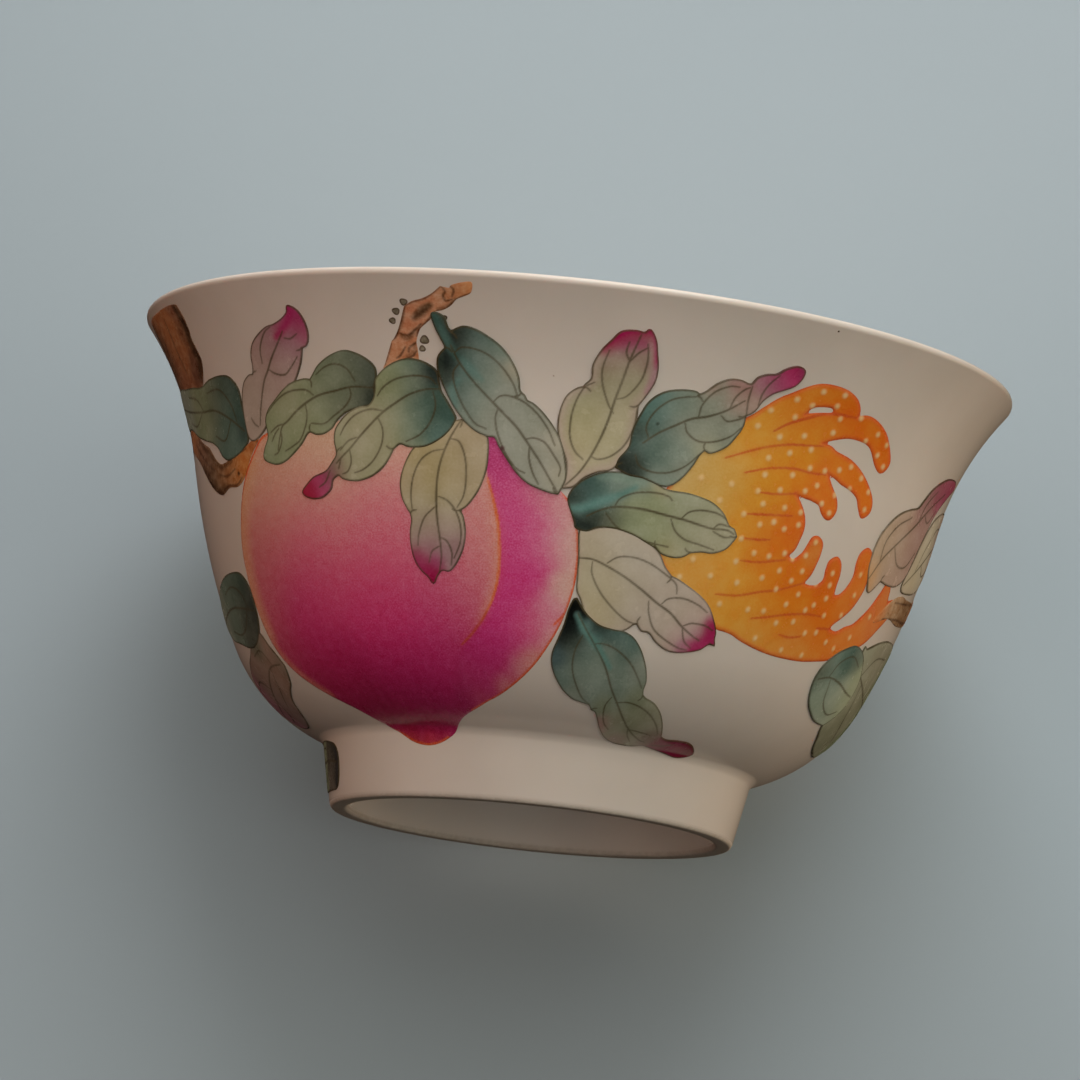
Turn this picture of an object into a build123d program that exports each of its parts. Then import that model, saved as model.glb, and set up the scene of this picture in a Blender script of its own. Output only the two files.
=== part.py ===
from build123d import *
from math import cos, radians, sin
import os

# A porcelain tea bowl with a flared lip, painted in overglaze enamel with a peach,
# a citron and a pomegranate among leaves.  Millimetres.  Z is the bowl's axis and
# the foot stands on Z = 0.  Azimuth 0 faces -Y and grows towards +X.

# ---- driving dimensions -------------------------------------------------
rim_diameter = 100.0        # outermost edge of the flared lip
height = 54.5               # foot to lip
foot_base_diameter = 46.0   # foot ring where it stands
foot_top_diameter = 49.0    # foot where it meets the belly
foot_height = 7.65          # outside, up to the belly
seam_height = 6.2           # flat joint between foot ring and bowl body
foot_edge_width = 2.0       # width of the edge the bowl stands on
foot_thickening = 0.9       # how much thicker the ring is at its top, inside
wall_thickness = 1.7        # porcelain with its glaze
lip_thickness = 1.1
lip_slope = 54.0            # steepness of the flare at the lip, degrees
belly_radius = 18.8         # tight turn just above the foot
belly_start = 17.2          # slope where the belly leaves the foot, degrees
belly_sweep = 47.6
side_radius = 90.4          # long gentle curve of the side
side_sweep = 13.7
foot_rounding = 0.4         # at the edge the bowl stands on
enamel_gap = 0.02           # keeps an enamel clear of the glaze it lies on
enamel_relief = 0.22        # how far an enamel stands proud of the glaze
enamel_spacing = 0.08       # bare line left between two touching enamels
degree_length = 0.73        # one degree of azimuth along the side of the bowl


def parallel(edge, distance):
    """The same line or arc, moved outwards from the porcelain."""
    points = []
    for share in (0, 0.5, 1):
        point, along = edge @ share, edge % share
        points.append((point.X + along.Y * distance, point.Y - along.X * distance))
    if edge.geom_type == GeomType.LINE:
        return Line(points[0], points[2])
    return ThreePointArc(*points)


def ring_of(edges):
    """Revolve a closed outline drawn as (radius, height) about the bowl's axis."""
    return revolve(Plane.XZ * make_face(edges), axis=Axis.Z)


# ---- bowl profile, drawn as (radius, height) ----------------------------
junction = (foot_top_diameter / 2, foot_height)
lip_round = lip_thickness / 2
lip_centre = (rim_diameter / 2 - lip_round, height - lip_round)
lip = CenterArc(lip_centre, lip_round, lip_slope - 90, 180)
leaving = (cos(radians(belly_start)), sin(radians(belly_start)))

foot_line = Line((foot_base_diameter / 2, 0), junction)
belly = JernArc(junction, leaving, belly_radius, belly_sweep)
side = JernArc(belly @ 1, belly % 1, side_radius, side_sweep)
flare = TangentArc(side @ 1, lip @ 0, tangent=side % 1)
wall = Wire([belly, side, flare])

inner_belly = CenterArc(
    belly.arc_center, belly_radius - wall_thickness, -90, belly_start + belly_sweep
)
inner_side = parallel(side, -wall_thickness)
inner_flare = TangentArc(inner_side @ 1, lip @ 1, tangent=inner_side % 1)
floor_edge = inner_belly @ 0

seam_point = foot_line @ (seam_height / foot_height)
ring_inside = foot_base_diameter / 2 - foot_edge_width

bowl_body = ring_of([
    Line((0, seam_height), seam_point),
    Line(seam_point, junction),
    belly,
    side,
    flare,
    lip,
    inner_flare,
    inner_side,
    inner_belly,
    Line(floor_edge, (0, floor_edge.Y)),
    Line((0, floor_edge.Y), (0, seam_height)),
])

foot_ring = ring_of(Polyline(
    (ring_inside, 0),
    (foot_base_diameter / 2, 0),
    seam_point,
    (ring_inside - foot_thickening, seam_height),
    close=True,
).edges())
standing_edges = foot_ring.edges().filter_by(GeomType.CIRCLE).group_by(Axis.Z)[0]
foot_ring = fillet(standing_edges, foot_rounding)

# ---- the thin layer the enamels are cut from -----------------------------
near, far = enamel_gap, enamel_gap + enamel_relief


def layer(edges):
    """A revolved film just outside the given run of the profile."""
    inside = [parallel(edge, near) for edge in edges]
    outside = [parallel(edge, far) for edge in edges]
    ends = [
        Line(inside[0] @ 0, outside[0] @ 0),
        Line(inside[-1] @ 1, outside[-1] @ 1),
    ]
    return ring_of(inside + outside + ends)


film = layer([belly, side, flare]) + layer([foot_line])

# ---- outlines of the painting --------------------------------------------
# Each point is (azimuth in degrees, distance up the wall from the top of the foot).
# Later entries lie over earlier ones.
paintings = {
    "peach": [
        (-53, 36.9), (-58.8, 33), (-63, 27.4), (-64.6, 21.6), (-63.2, 15.4),
        (-59.4, 10), (-53, 6.2), (-47.4, 3.4), (-44, 0.7), (-38, -1.2), (-30, -2.1),
        (-24.4, -1.2), (-20.4, 1.4), (-14.6, 4.4), (-7, 8), (-0.6, 13.4), (2.2, 18),
        (3.2, 23.2), (2.2, 28), (-0.6, 31.4), (-6, 35.6), (-12, 38.2), (-24, 38),
        (-40, 38),
    ],
    "citron": [
        (15.4, 33), (14.6, 29), (17, 24.8), (22, 21), (30, 18.4), (38, 17.2),
        (47, 17), (54, 17.7), (60, 19.3), (66, 22), (70, 24.4), (72, 26.4),
        (69, 28.4), (65.8, 28.8), (63, 25.4), (59.6, 22.8), (54.6, 21.8),
        (57.4, 24.6), (58.6, 28.2), (56.6, 31.3), (54.2, 30.4), (54.2, 27.6),
        (51.2, 25.4), (50.6, 28.2), (48.8, 29.4), (47.3, 27.8), (46.2, 25.8),
        (43.6, 25.8), (44.8, 29.2), (43.4, 31), (41.6, 29.8), (38.6, 27.9),
        (39.8, 31.2), (38.4, 33.8), (38.4, 34.8), (42, 34), (44.4, 33.2),
        (45, 35.4), (43, 37.2), (47.4, 37), (51.4, 34.5), (53.2, 36), (49.6, 38.8),
        (42.4, 40.6), (40.4, 41.6), (47, 42.5), (52.8, 39.9), (53.6, 42.2),
        (48.6, 45), (43.8, 45.4), (40.4, 47.4), (35.4, 47.5), (29.6, 44.9),
        (23, 40),
    ],
    "rim_branch": [
        (-68.4, 53.4), (-68.2, 49), (-69, 44), (-76, 42), (-84, 43), (-88, 48),
        (-85, 53.4), (-77, 53),
    ],
    "stalk_branch": [
        (-53.6, 37), (-59.4, 35.6), (-65, 34.7), (-70, 35.8), (-77, 38.4), (-84, 41),
        (-85, 38), (-77, 34.8), (-71, 31.9), (-66, 31.4), (-60, 32.4), (-56, 35.2),
    ],
    "peach_branch": [
        (-14.6, 53.6), (-15.4, 52.5), (-18.2, 50.7), (-21, 49.2), (-22.8, 47),
        (-23.4, 45), (-24, 42), (-27, 42), (-28.4, 44.2), (-27.2, 46.8), (-25.2, 49),
        (-23.9, 51), (-20.8, 52.2), (-18.4, 53.2),
    ],
    "citron_branch": [
        (66, 24), (72, 25.2), (80, 25.2), (92, 27), (104, 31), (119, 36.4),
        (121, 39), (104, 34), (92, 29.8), (80, 28.4), (74, 28.2), (69, 26.6),
    ],
    "pomegranate_branch": [
        (-84, 41.6), (-96, 40), (-110, 35.2), (-124, 29.6), (-138, 24.4),
        (-152, 19.8), (-162.6, 17.8), (-162.6, 15.8), (-152, 17), (-136, 21.4),
        (-122, 26), (-108, 31.6), (-95, 36.6), (-85.4, 38),
    ],
    "leaf_left_dark": [
        (-57.4, 36.8), (-58, 40.6), (-60, 43.6), (-64, 44.3), (-70, 43.8),
        (-77, 44.6), (-85, 46), (-91, 44), (-88, 40.4), (-81, 39), (-73, 37.8),
        (-67.4, 36.2), (-63.6, 34.7), (-59, 35.4),
    ],
    "leaf_left_pink": [
        (-42.9, 51.1), (-41, 49.6), (-40.7, 47.6), (-42.2, 46.2), (-43.2, 44.4),
        (-46, 41.6), (-50, 38.6), (-55.4, 36.4), (-57.6, 38.6), (-57.4, 41.6),
        (-54.6, 43.6), (-53.2, 45.8), (-50.4, 48.2), (-46.6, 49), (-44, 50),
    ],
    "leaf_left_green": [
        (-30.2, 39.6), (-29.9, 43), (-32, 45), (-35.2, 45.6), (-39, 44.4),
        (-41.4, 42.6), (-45.4, 42.2), (-50.4, 39.9), (-52.2, 38), (-51.6, 36.6),
        (-53.1, 34.4), (-50.4, 33.5), (-46, 34.6), (-42.4, 36.8), (-40, 36.5),
        (-37, 38), (-34, 39.4),
    ],
    "leaf_over_peach": [
        (-19.2, 41), (-20.6, 43.8), (-23.4, 44.7), (-27, 44.2), (-29.9, 42.2),
        (-31.4, 39.5), (-36, 38), (-37.5, 35.8), (-37.6, 33.8), (-39.6, 32.3),
        (-43.4, 31), (-44.5, 30), (-41.4, 29.4), (-38.8, 30.4), (-36.9, 32),
        (-33.4, 31.3), (-29.4, 32.6), (-27.2, 34.7), (-24.4, 35.1), (-20, 36),
        (-17.4, 38.4),
    ],
    "leaf_hanging": [
        (-15, 38.6), (-18, 36.4), (-23.4, 34.6), (-25.9, 31.4), (-24.7, 28.1),
        (-24.2, 24), (-22.9, 21.6), (-20.7, 20.1), (-18, 21.6), (-15.8, 23.8),
        (-15.4, 26.8), (-16.2, 28.4), (-13.2, 31), (-12.2, 34.8), (-12.4, 37.6),
    ],
    "leaf_large_teal": [
        (-20.4, 50.1), (-19, 49.7), (-17.8, 48), (-15.8, 48.7), (-12.4, 47.4),
        (-9.4, 45), (-8.1, 42), (-6.2, 40.6), (-3.4, 38.7), (-1.2, 36), (-0.3, 33),
        (-1.2, 31), (-5.2, 31.7), (-8.8, 34), (-11.6, 36.7), (-14.2, 37.2),
        (-17.6, 39.8), (-19.9, 43.4), (-19.2, 46), (-19.4, 47.6),
    ],
    "leaf_top_pale": [
        (-0.2, 32.2), (-0.2, 34.6), (-1.4, 36.6), (-2.1, 38.8), (-1.1, 41.8),
        (1.2, 43), (2, 45.4), (4, 48.4), (6.4, 49.9), (8.8, 50.3), (10.2, 48),
        (10.8, 45.4), (9.2, 42), (8.8, 38.4), (7, 34.8), (3.4, 32.6),
    ],
    "leaf_top_teal": [
        (7, 34.6), (8.6, 37), (9.4, 40.2), (12.4, 43.4), (17, 43.9), (20.6, 45.7),
        (24.4, 46), (27, 47.4), (30.4, 48.9), (31.9, 48), (29.8, 46.1), (27, 44.4),
        (25, 42), (24, 39.6), (20, 37.7), (17.6, 35), (14.6, 33.2), (10, 33.8),
    ],
    "leaf_middle_cream": [
        (3.3, 24.4), (2.9, 27.2), (8.2, 27.9), (14, 26.7), (18, 23.9), (22.4, 22.6),
        (27, 20.4), (29.2, 17.4), (27.2, 16), (22.8, 15.2), (18, 16.3), (14.4, 17.6),
        (10.4, 16.6), (6, 17.8), (3.6, 20.6),
    ],
    "leaf_middle_teal": [
        (0.6, 30.8), (3, 33), (8, 34), (13.4, 33.2), (18.4, 32.8), (23.6, 31.9),
        (27.9, 29.1), (25.4, 27.1), (21, 26.5), (17.8, 25.7), (14.2, 26.7),
        (8, 28), (3.6, 27.3), (1.6, 28.6),
    ],
    "leaf_low_teal": [
        (3.5, 19.6), (6.2, 17.7), (12, 16.6), (16.4, 14.6), (19, 10.4), (22.4, 8.3),
        (27, 5.3), (29.4, 3.1), (36.4, 3), (42, 0.9), (37.4, 0), (30, 0.7),
        (23, 0.4), (17, 1.1), (12.4, 4.7), (9.6, 6.8), (4, 8.4), (0.8, 11.8),
        (1.6, 15.4),
    ],
    "leaf_right_pale": [
        (72, 29), (74.4, 35), (80, 38.6), (88, 39.8), (93, 37), (91, 33), (84, 30.2),
        (77, 28.9),
    ],
    "leaf_right_pink": [
        (57.4, 31.4), (59.6, 35), (65, 37.4), (71, 40.6), (77, 42.6), (84, 43.2),
        (81.6, 41), (76.4, 38.2), (73, 33.4), (71, 30), (66, 28.6), (61.6, 26.6),
        (59, 28),
    ],
    "leaf_right_dark": [
        (67, 20.6), (72, 22.2), (80, 23.4), (89, 23), (97, 20), (99, 15.6),
        (94, 10.6), (86, 8), (77, 8.4), (70, 10.8), (66, 15),
    ],
    "leaf_right_low": [
        (55.9, 15.4), (58.4, 18.9), (63.6, 20.7), (69.6, 19.8), (73.4, 16.6),
        (71.6, 12.4), (66, 11), (60.2, 12.1),
    ],
    "leaf_left_low_brown": [
        (-61.8, 10.4), (-63.6, 13.6), (-68, 15.6), (-76, 15), (-84, 12.6),
        (-91, 8.4), (-89, 3.4), (-80, 2.3), (-72, 5), (-65, 8),
    ],
    "leaf_left_low_dark": [
        (-64.4, 18.4), (-66.4, 21.6), (-72, 22.6), (-80, 22), (-88, 20),
        (-90, 17.6), (-84, 15.4), (-76, 13.9), (-69, 13.7), (-65.2, 15.6),
    ],
    "leaf_foot": [
        (-69.4, -2.9), (-73, -1.5), (-80, -0.8), (-90, -0.5), (-100, 0.6),
        (-104, -1.4), (-98, -4.6), (-88, -6), (-76, -5.9), (-71.4, -4.6),
    ],
    "pomegranate": [
        (182, 32), (176, 33.6), (165, 33.4), (156, 30), (150.6, 24.4), (151, 17.4),
        (157, 11.6), (166, 8.6), (178, 8.4), (189, 11.4), (195.4, 17.4),
        (196, 24.4), (190, 30),
    ],
    "pomegranate_crown": [
        (161, 33.6), (156.6, 37.6), (153.4, 41.6), (159, 40.2), (161.6, 43.8),
        (165, 40.4), (170, 43.4), (170.4, 39.2), (176, 40), (172, 36.6), (171.6, 33.6),
    ],
}


def lobed_leaf(base, tip, width):
    """Outline of a leaf folded into two lobes, running from base to tip."""
    along = ((tip[0] - base[0]) * degree_length, tip[1] - base[1])
    size = (along[0] ** 2 + along[1] ** 2) ** 0.5
    across = (-along[1] / size * width, along[0] / size * width)
    stations = [
        (0, 0), (0.1, 0.3), (0.3, 0.52), (0.48, 0.4), (0.54, 0.27), (0.66, 0.38),
        (0.82, 0.32), (0.94, 0.14), (1, 0), (0.92, -0.16), (0.78, -0.34),
        (0.62, -0.4), (0.52, -0.3), (0.42, -0.42), (0.24, -0.5), (0.08, -0.26),
    ]
    outline = []
    for onward, aside in stations:
        sideways = along[0] * onward + across[0] * aside
        upwards = along[1] * onward + across[1] * aside
        outline.append((base[0] + sideways / degree_length, base[1] + upwards))
    return outline


# Base, tip and width of the leaves on the far side of the bowl.
far_leaves = {
    "leaf_far_a": ((117, 38), (134, 49), 10),
    "leaf_far_b": ((119, 36), (143, 35), 10),
    "leaf_far_c": ((112, 32), (128, 18), 10),
    "leaf_far_d": ((-122, 32), (-138, 46), 10),
    "leaf_far_e": ((-133, 27), (-156, 36), 10),
    "leaf_far_f": ((-138, 22), (-154, 8), 10),
    "leaf_far_g": ((-106, 36), (-115, 49), 9),
    "leaf_far_h": ((-114, 31), (-123, 14), 9),
    "leaf_far_i": ((153, 12), (130, 7), 8),
}
for name, (base, tip, width) in far_leaves.items():
    paintings[name] = lobed_leaf(base, tip, width)


def place(azimuth, distance, middle):
    """A point of an outline, seen square on from the azimuth called middle."""
    if distance < 0:
        point = foot_line @ (1 + distance / foot_line.length)
    else:
        point = wall @ (distance / wall.length)
    return (point.X * sin(radians(azimuth - middle)), point.Y)


def grown(points, growth):
    """The points of a closed outline, each moved outwards."""
    before, after = points[-1:] + points[:-1], points[1:] + points[:1]
    turning = sum(a[0] * b[1] - b[0] * a[1] for a, b in zip(points, after))
    moved = []
    for point, last, following in zip(points, before, after):
        along = (Vector(*following) - Vector(*last)).normalized()
        outward = Vector(along.Y, -along.X) * (growth if turning > 0 else -growth)
        moved.append(Vector(*point) + outward)
    return moved


def column(name, growth=0):
    """The outline carried straight out from the bowl's axis, past the lip."""
    outline = paintings[name]
    azimuths = [azimuth for azimuth, distance in outline]
    middle = (min(azimuths) + max(azimuths)) / 2
    points = [place(azimuth, distance, middle) for azimuth, distance in outline]
    face = make_face(Spline(grown(points, growth), periodic=True))
    outwards = (sin(radians(middle)), -cos(radians(middle)), 0)
    sideways = (cos(radians(middle)), sin(radians(middle)), 0)
    square_on = Plane((0, 0, 0), x_dir=sideways, z_dir=outwards)
    return extrude(square_on * face, rim_diameter)


def reach(name):
    """Lowest and highest azimuth and distance of an outline."""
    azimuths, distances = zip(*paintings[name])
    return min(azimuths), max(azimuths), min(distances), max(distances)


def meet(first, second):
    """Whether two outlines come near each other."""
    a, b = reach(first), reach(second)
    level = a[0] < b[1] + 2 and b[0] < a[1] + 2
    return level and a[2] < b[3] + 2 and b[2] < a[3] + 2


# ---- parts ---------------------------------------------------------------
parts = {"bowl_body": bowl_body, "foot_ring": foot_ring}
names = list(paintings)
for index, name in enumerate(names):
    enamel = film & column(name)
    covering = [above for above in names[index + 1:] if meet(name, above)]
    if covering:
        enamel = enamel - [column(above, enamel_spacing) for above in covering]
    parts[name] = max(enamel.solids(), key=lambda solid: solid.volume)

os.makedirs("parts", exist_ok=True)
for name, part in parts.items():
    part.label = name
    export_step(part, f"parts/{name}.step")
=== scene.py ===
import math

import bpy
import numpy as np
from mathutils import Matrix, Vector


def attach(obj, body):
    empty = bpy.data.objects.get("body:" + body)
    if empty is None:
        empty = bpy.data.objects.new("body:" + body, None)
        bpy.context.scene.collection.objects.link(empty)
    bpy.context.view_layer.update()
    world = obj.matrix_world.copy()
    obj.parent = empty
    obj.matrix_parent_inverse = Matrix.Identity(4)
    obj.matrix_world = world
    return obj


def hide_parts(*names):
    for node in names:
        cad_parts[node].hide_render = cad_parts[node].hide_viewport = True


# A porcelain tea bowl lying on its side, painted in overglaze enamels.
# The painting is laid out on the unrolled wall: a point is (azimuth in degrees,
# millimetres up the wall from the top of the foot).  Azimuth 0 faces -Y.
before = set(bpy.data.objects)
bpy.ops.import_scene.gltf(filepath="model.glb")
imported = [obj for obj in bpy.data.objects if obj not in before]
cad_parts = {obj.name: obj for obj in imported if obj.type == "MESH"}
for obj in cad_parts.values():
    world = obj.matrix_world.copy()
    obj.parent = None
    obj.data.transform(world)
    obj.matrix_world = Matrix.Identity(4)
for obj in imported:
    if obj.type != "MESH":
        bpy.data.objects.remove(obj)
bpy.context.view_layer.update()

MM = 0.001
DEGREE = 0.733              # millimetres of wall to a degree of azimuth

# ---- profile of the bowl, (radius, height) in mm --------------------------
FOOT_BASE, FOOT_TOP, SEAM = (23.0, 0.0), (24.5, 7.65), 6.2
BELLY_RADIUS, SIDE_RADIUS, LIP_RADIUS = 18.8, 90.4, 0.55
BELLY_SLOPE, SIDE_SLOPE, FLARE_SLOPE, LIP_SLOPE = 17.2, 64.8, 78.5, 54  # where each starts
THICKNESS = 1.7
RIM_RADIUS, HEIGHT = 50.0, 54.5
WALL_STEP = 0.02            # between the points kept of the finished profile
POOL_REACH, POOL_HALF = 1.9, 1.0    # glaze pooled above the foot: how far, how softly


def centre_of(point, slope, radius):
    """Centre of the arc that passes a point at a slope, bending inwards, or out if negative."""
    a = math.radians(slope)
    return (point[0] - radius * math.sin(a), point[1] + radius * math.cos(a))


def turn(centre, radius, start, end, count=120):
    """Points of an arc whose slope goes from start to end, in degrees."""
    a = np.radians(np.linspace(start, end, count))
    across = centre[0] + radius * np.sin(a)
    return np.stack([across, centre[1] - radius * np.cos(a)], 1)


def flare(start, slope, end):
    """The arc that leaves start at a slope, bends outwards and meets end."""
    chord = np.subtract(end, start)
    a = math.radians(slope)
    lean = math.sin(a) * chord[0] - math.cos(a) * chord[1]
    radius = chord @ chord / (2 * abs(lean))
    centre = centre_of(start, slope, -radius)
    last = 2 * math.degrees(math.atan2(chord[1], chord[0])) - slope
    return turn(centre, -radius, slope, last)


BELLY = centre_of(FOOT_TOP, BELLY_SLOPE, BELLY_RADIUS)
belly = turn(BELLY, BELLY_RADIUS, BELLY_SLOPE, SIDE_SLOPE)
SIDE = centre_of(belly[-1], SIDE_SLOPE, SIDE_RADIUS)
side = turn(SIDE, SIDE_RADIUS, SIDE_SLOPE, FLARE_SLOPE)
LIP = (RIM_RADIUS - LIP_RADIUS, HEIGHT - LIP_RADIUS)
lip = turn(LIP, LIP_RADIUS, LIP_SLOPE, LIP_SLOPE + 180, 48)
inner_side = turn(SIDE, SIDE_RADIUS - THICKNESS, SIDE_SLOPE, FLARE_SLOPE)
inner_belly = turn(BELLY, BELLY_RADIUS - THICKNESS, 0, SIDE_SLOPE)
inner_flare = flare(inner_side[-1], FLARE_SLOPE, lip[-1])
outside = np.vstack([
    np.linspace(FOOT_BASE, FOOT_TOP, 80), belly[1:], side[1:],
    flare(side[-1], FLARE_SLOPE, lip[0])[1:], lip[1:],
])
gone = np.hypot(*np.diff(outside, axis=0).T)
height_up = np.concatenate([[0], np.cumsum(gone)]) - math.dist(FOOT_BASE, FOOT_TOP)

# The glaze pools in the corner between foot and belly: average along the wall there.
wall_s = np.arange(height_up[0], height_up[-1], WALL_STEP)
wall_rz = np.stack([np.interp(wall_s, height_up, outside[:, k]) for k in (0, 1)], 1)
pool = POOL_HALF * np.clip(1 - (wall_s / POOL_REACH) ** 2, 0, 1) ** 1.5 + 1e-6
edges = np.append(wall_s, wall_s[-1] + WALL_STEP) - WALL_STEP / 2
for k in (0, 1):
    total = np.concatenate([[0], np.cumsum(wall_rz[:, k]) * WALL_STEP])
    above = np.interp(wall_s + pool, edges, total)
    below = np.interp(wall_s - pool, edges, total)
    wall_rz[:, k] = np.where(pool > WALL_STEP, (above - below) / (2 * pool), wall_rz[:, k])
run = np.gradient(wall_rz, axis=0)
run /= np.hypot(run[:, 0], run[:, 1])[:, None]


def on_wall(along, s, lift):
    """Points at mm round and up the unrolled wall, lifted off the glaze, in metres."""
    phi = np.radians(along / DEGREE)
    r = np.interp(s, wall_s, wall_rz[:, 0]) + lift * np.interp(s, wall_s, run[:, 1])
    z = np.interp(s, wall_s, wall_rz[:, 1]) - lift * np.interp(s, wall_s, run[:, 0])
    return np.stack([r * np.sin(phi), -r * np.cos(phi), z], -1) * MM


# ---- meshes ---------------------------------------------------------------
AROUND = 320                # points round a turned piece
AXIS = 0.001                # radius of the points on the axis, mm
SHARP = 50                  # an edge that turns by more degrees stays sharp


def add_mesh(name, points, faces, replaced):
    mesh = bpy.data.meshes.new(name)
    mesh.vertices.add(len(points))
    mesh.vertices.foreach_set("co", np.asarray(points, np.float32).ravel())
    mesh.loops.add(faces.size)
    mesh.loops.foreach_set("vertex_index", faces.ravel().astype(np.int32))
    mesh.polygons.add(len(faces))
    starts = np.arange(0, faces.size, faces.shape[1], dtype=np.int32)
    mesh.polygons.foreach_set("loop_start", starts)
    mesh.polygons.foreach_set("use_smooth", np.ones(len(faces), bool))
    mesh.update(calc_edges=True)
    mesh.validate()
    piece = bpy.data.objects.new(name, mesh)
    bpy.context.scene.collection.objects.link(piece)
    if replaced:
        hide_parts(*replaced)
    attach(piece, "root")
    return piece


def store(piece, name, kind, field, values):
    """Keep a value for each point of a piece, for its material to read."""
    kept = piece.data.attributes.new(name, kind, "POINT")
    kept.data.foreach_set(field, values.astype(np.float32).ravel())


def lathe(name, outline, replaced):
    """Turn a closed outline of (radius, height, bare clay or not) about the axis."""
    phi = np.linspace(0, 2 * np.pi, AROUND, endpoint=False)
    rings, count = outline[:, None, :], len(outline)
    points = np.stack([
        rings[..., 0] * np.sin(phi), -rings[..., 0] * np.cos(phi),
        np.broadcast_to(rings[..., 1], (count, AROUND)),
    ], -1).reshape(-1, 3) * MM
    i, j = np.meshgrid(np.arange(count), np.arange(AROUND), indexing="ij")
    here, following, on = i * AROUND, (i + 1) % count * AROUND, (j + 1) % AROUND
    faces = np.stack([here + j, here + on, following + on, following + j], -1)
    if outline[0, 0] <= AXIS:   # it starts and ends on the axis, so it isn't closed up
        faces = faces[:-1]
    piece = add_mesh(name, points, faces.reshape(-1, 4), replaced)
    store(piece, "Bare", "FLOAT", "value", np.repeat(outline[:, 2], AROUND))
    piece.data.set_sharp_from_angle(angle=math.radians(SHARP))
    return piece


# ---- lines and brush work --------------------------------------------------
SPAN_STEPS = 6              # points of a smooth curve to each point that is given
SEARCH = 1.6                # how far from an outline its distance is worked out, mm
HOOK = ((0, 0), (0.32, 0.16), (0.8, 0.1))   # a curl of ink, (inwards, aside) in mm
WAVES = 6                   # sine waves in an uneven field
TOUCH = 2.2                 # usual reach of a touch of paint, mm
PEN_SOFT = 0.1              # width of the soft edge of a pen line, mm


def spline(points, closed=False):
    """A smooth curve through points."""
    if closed:
        p = np.vstack([points[-1:], points, points[:2]])
    else:
        p = np.vstack([2 * points[0] - points[1], points, 2 * points[-1] - points[-2]])
    t = (np.arange(SPAN_STEPS) / SPAN_STEPS)[:, None]
    spans = []
    for a, b, c, d in zip(p, p[1:], p[2:], p[3:]):
        square, cube = 2 * a - 5 * b + 4 * c - d, 3 * b - a - 3 * c + d
        spans.append(b + 0.5 * ((c - a) * t + square * t**2 + cube * t**3))
    return np.vstack(spans + [p[-2:-1]])


def line_of(points, closed=False):
    """Unroll a line.  A closed one turns sharply at points that have a third number."""
    flat = np.array([(p[0] * DEGREE, p[1]) for p in points], float)
    if not closed:
        return spline(flat)
    corners = [k for k, p in enumerate(points) if len(p) == 3]
    if not corners:
        return spline(flat, closed=True)
    flat = np.roll(flat, -corners[0], axis=0)
    stops = [k - corners[0] for k in corners] + [len(flat)]
    flat = np.vstack([flat, flat[:1]])
    runs = [spline(flat[a:b + 1])[:-1] for a, b in zip(stops, stops[1:])]
    return np.vstack(runs + [flat[:1]])


def near(u, s, line, reach):
    """For each piece of a line: the grid window round it, distances, nearest points, share run."""
    last = len(line) - 1
    for k, (a, b) in enumerate(zip(line[:-1], line[1:])):
        lo, hi = np.minimum(a, b) - reach, np.maximum(a, b) + reach
        i0, i1 = np.searchsorted(u, (lo[0], hi[0]))
        j0, j1 = np.searchsorted(s, (lo[1], hi[1]))
        if i0 == i1 or j0 == j1:
            continue
        x, y = u[i0:i1, None], s[None, j0:j1]
        d = b - a
        t = np.clip(((x - a[0]) * d[0] + (y - a[1]) * d[1]) / max(d @ d, 1e-12), 0, 1)
        qx, qy = a[0] + t * d[0], a[1] + t * d[1]
        yield (slice(i0, i1), slice(j0, j1)), np.hypot(x - qx, y - qy), qx, qy, (k + t) / last


def stroke(u, s, line, width, swell=0.5, soft=PEN_SOFT):
    """How much of each grid point a brush line covers; it thins towards its ends by swell."""
    cover = np.zeros((len(u), len(s)))
    for window, distance, _, _, share in near(u, s, line, width + soft):
        fullness = np.sin(np.pi * (0.06 + 0.88 * share)) ** 0.7     # its ends aren't points
        half = width / 2 * (1 - swell + swell * fullness)
        part = np.clip((half - distance) / soft + 0.5, 0, 1)
        cover[window] = np.maximum(cover[window], part)
    return cover


def hooks(spec):
    """The little curls of ink where a leaf's outline turns sharply, pointing into the leaf."""
    curls = []
    for loop in spec["loops"]:
        middle = np.mean([p[:2] for p in loop], axis=0)
        for p in (p for p in loop if len(p) == 3):
            inward = (middle - p[:2]) * (DEGREE, 1)
            inward /= np.hypot(*inward)
            aside = np.array((-inward[1], inward[0]))
            path = [a * inward + b * aside for a, b in HOOK]
            curls.append([(p[0] + q[0] / DEGREE, p[1] + q[1]) for q in path])
    return curls


def ease(x):
    x = np.clip(x, 0, 1)
    return x * x * (3 - 2 * x)


def wander(x, y, size, seed):
    """Smooth uneven field, mostly from -1 to 1, whose swells are about size mm apart."""
    rng = np.random.default_rng(seed)
    total = 0
    for _ in range(WAVES):
        a, b, c = rng.normal(0, 3.4 / size, 2).tolist() + [rng.uniform(0, 6.28)]
        total = total + np.sin(a * x + b * y + c)
    return total / 3.2


def blend_tints(x, y, tints, usual_reach=TOUCH):
    """Colour at each point from (azimuth, height, colour, optional reach) touches of paint."""
    at = np.array([(t[0] * DEGREE, t[1]) for t in tints])
    colour = np.array([PAINT[t[2]] if isinstance(t[2], str) else t[2] for t in tints])
    reach = np.array([t[3] if len(t) > 3 else usual_reach for t in tints])
    q = ((x[..., None] - at[:, 0]) ** 2 + (y[..., None] - at[:, 1]) ** 2) / reach**2
    w = np.exp(-(q - q.min(-1, keepdims=True)) / 2)
    return (w[..., None] * colour).sum(-2) / w.sum(-1)[..., None]


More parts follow.
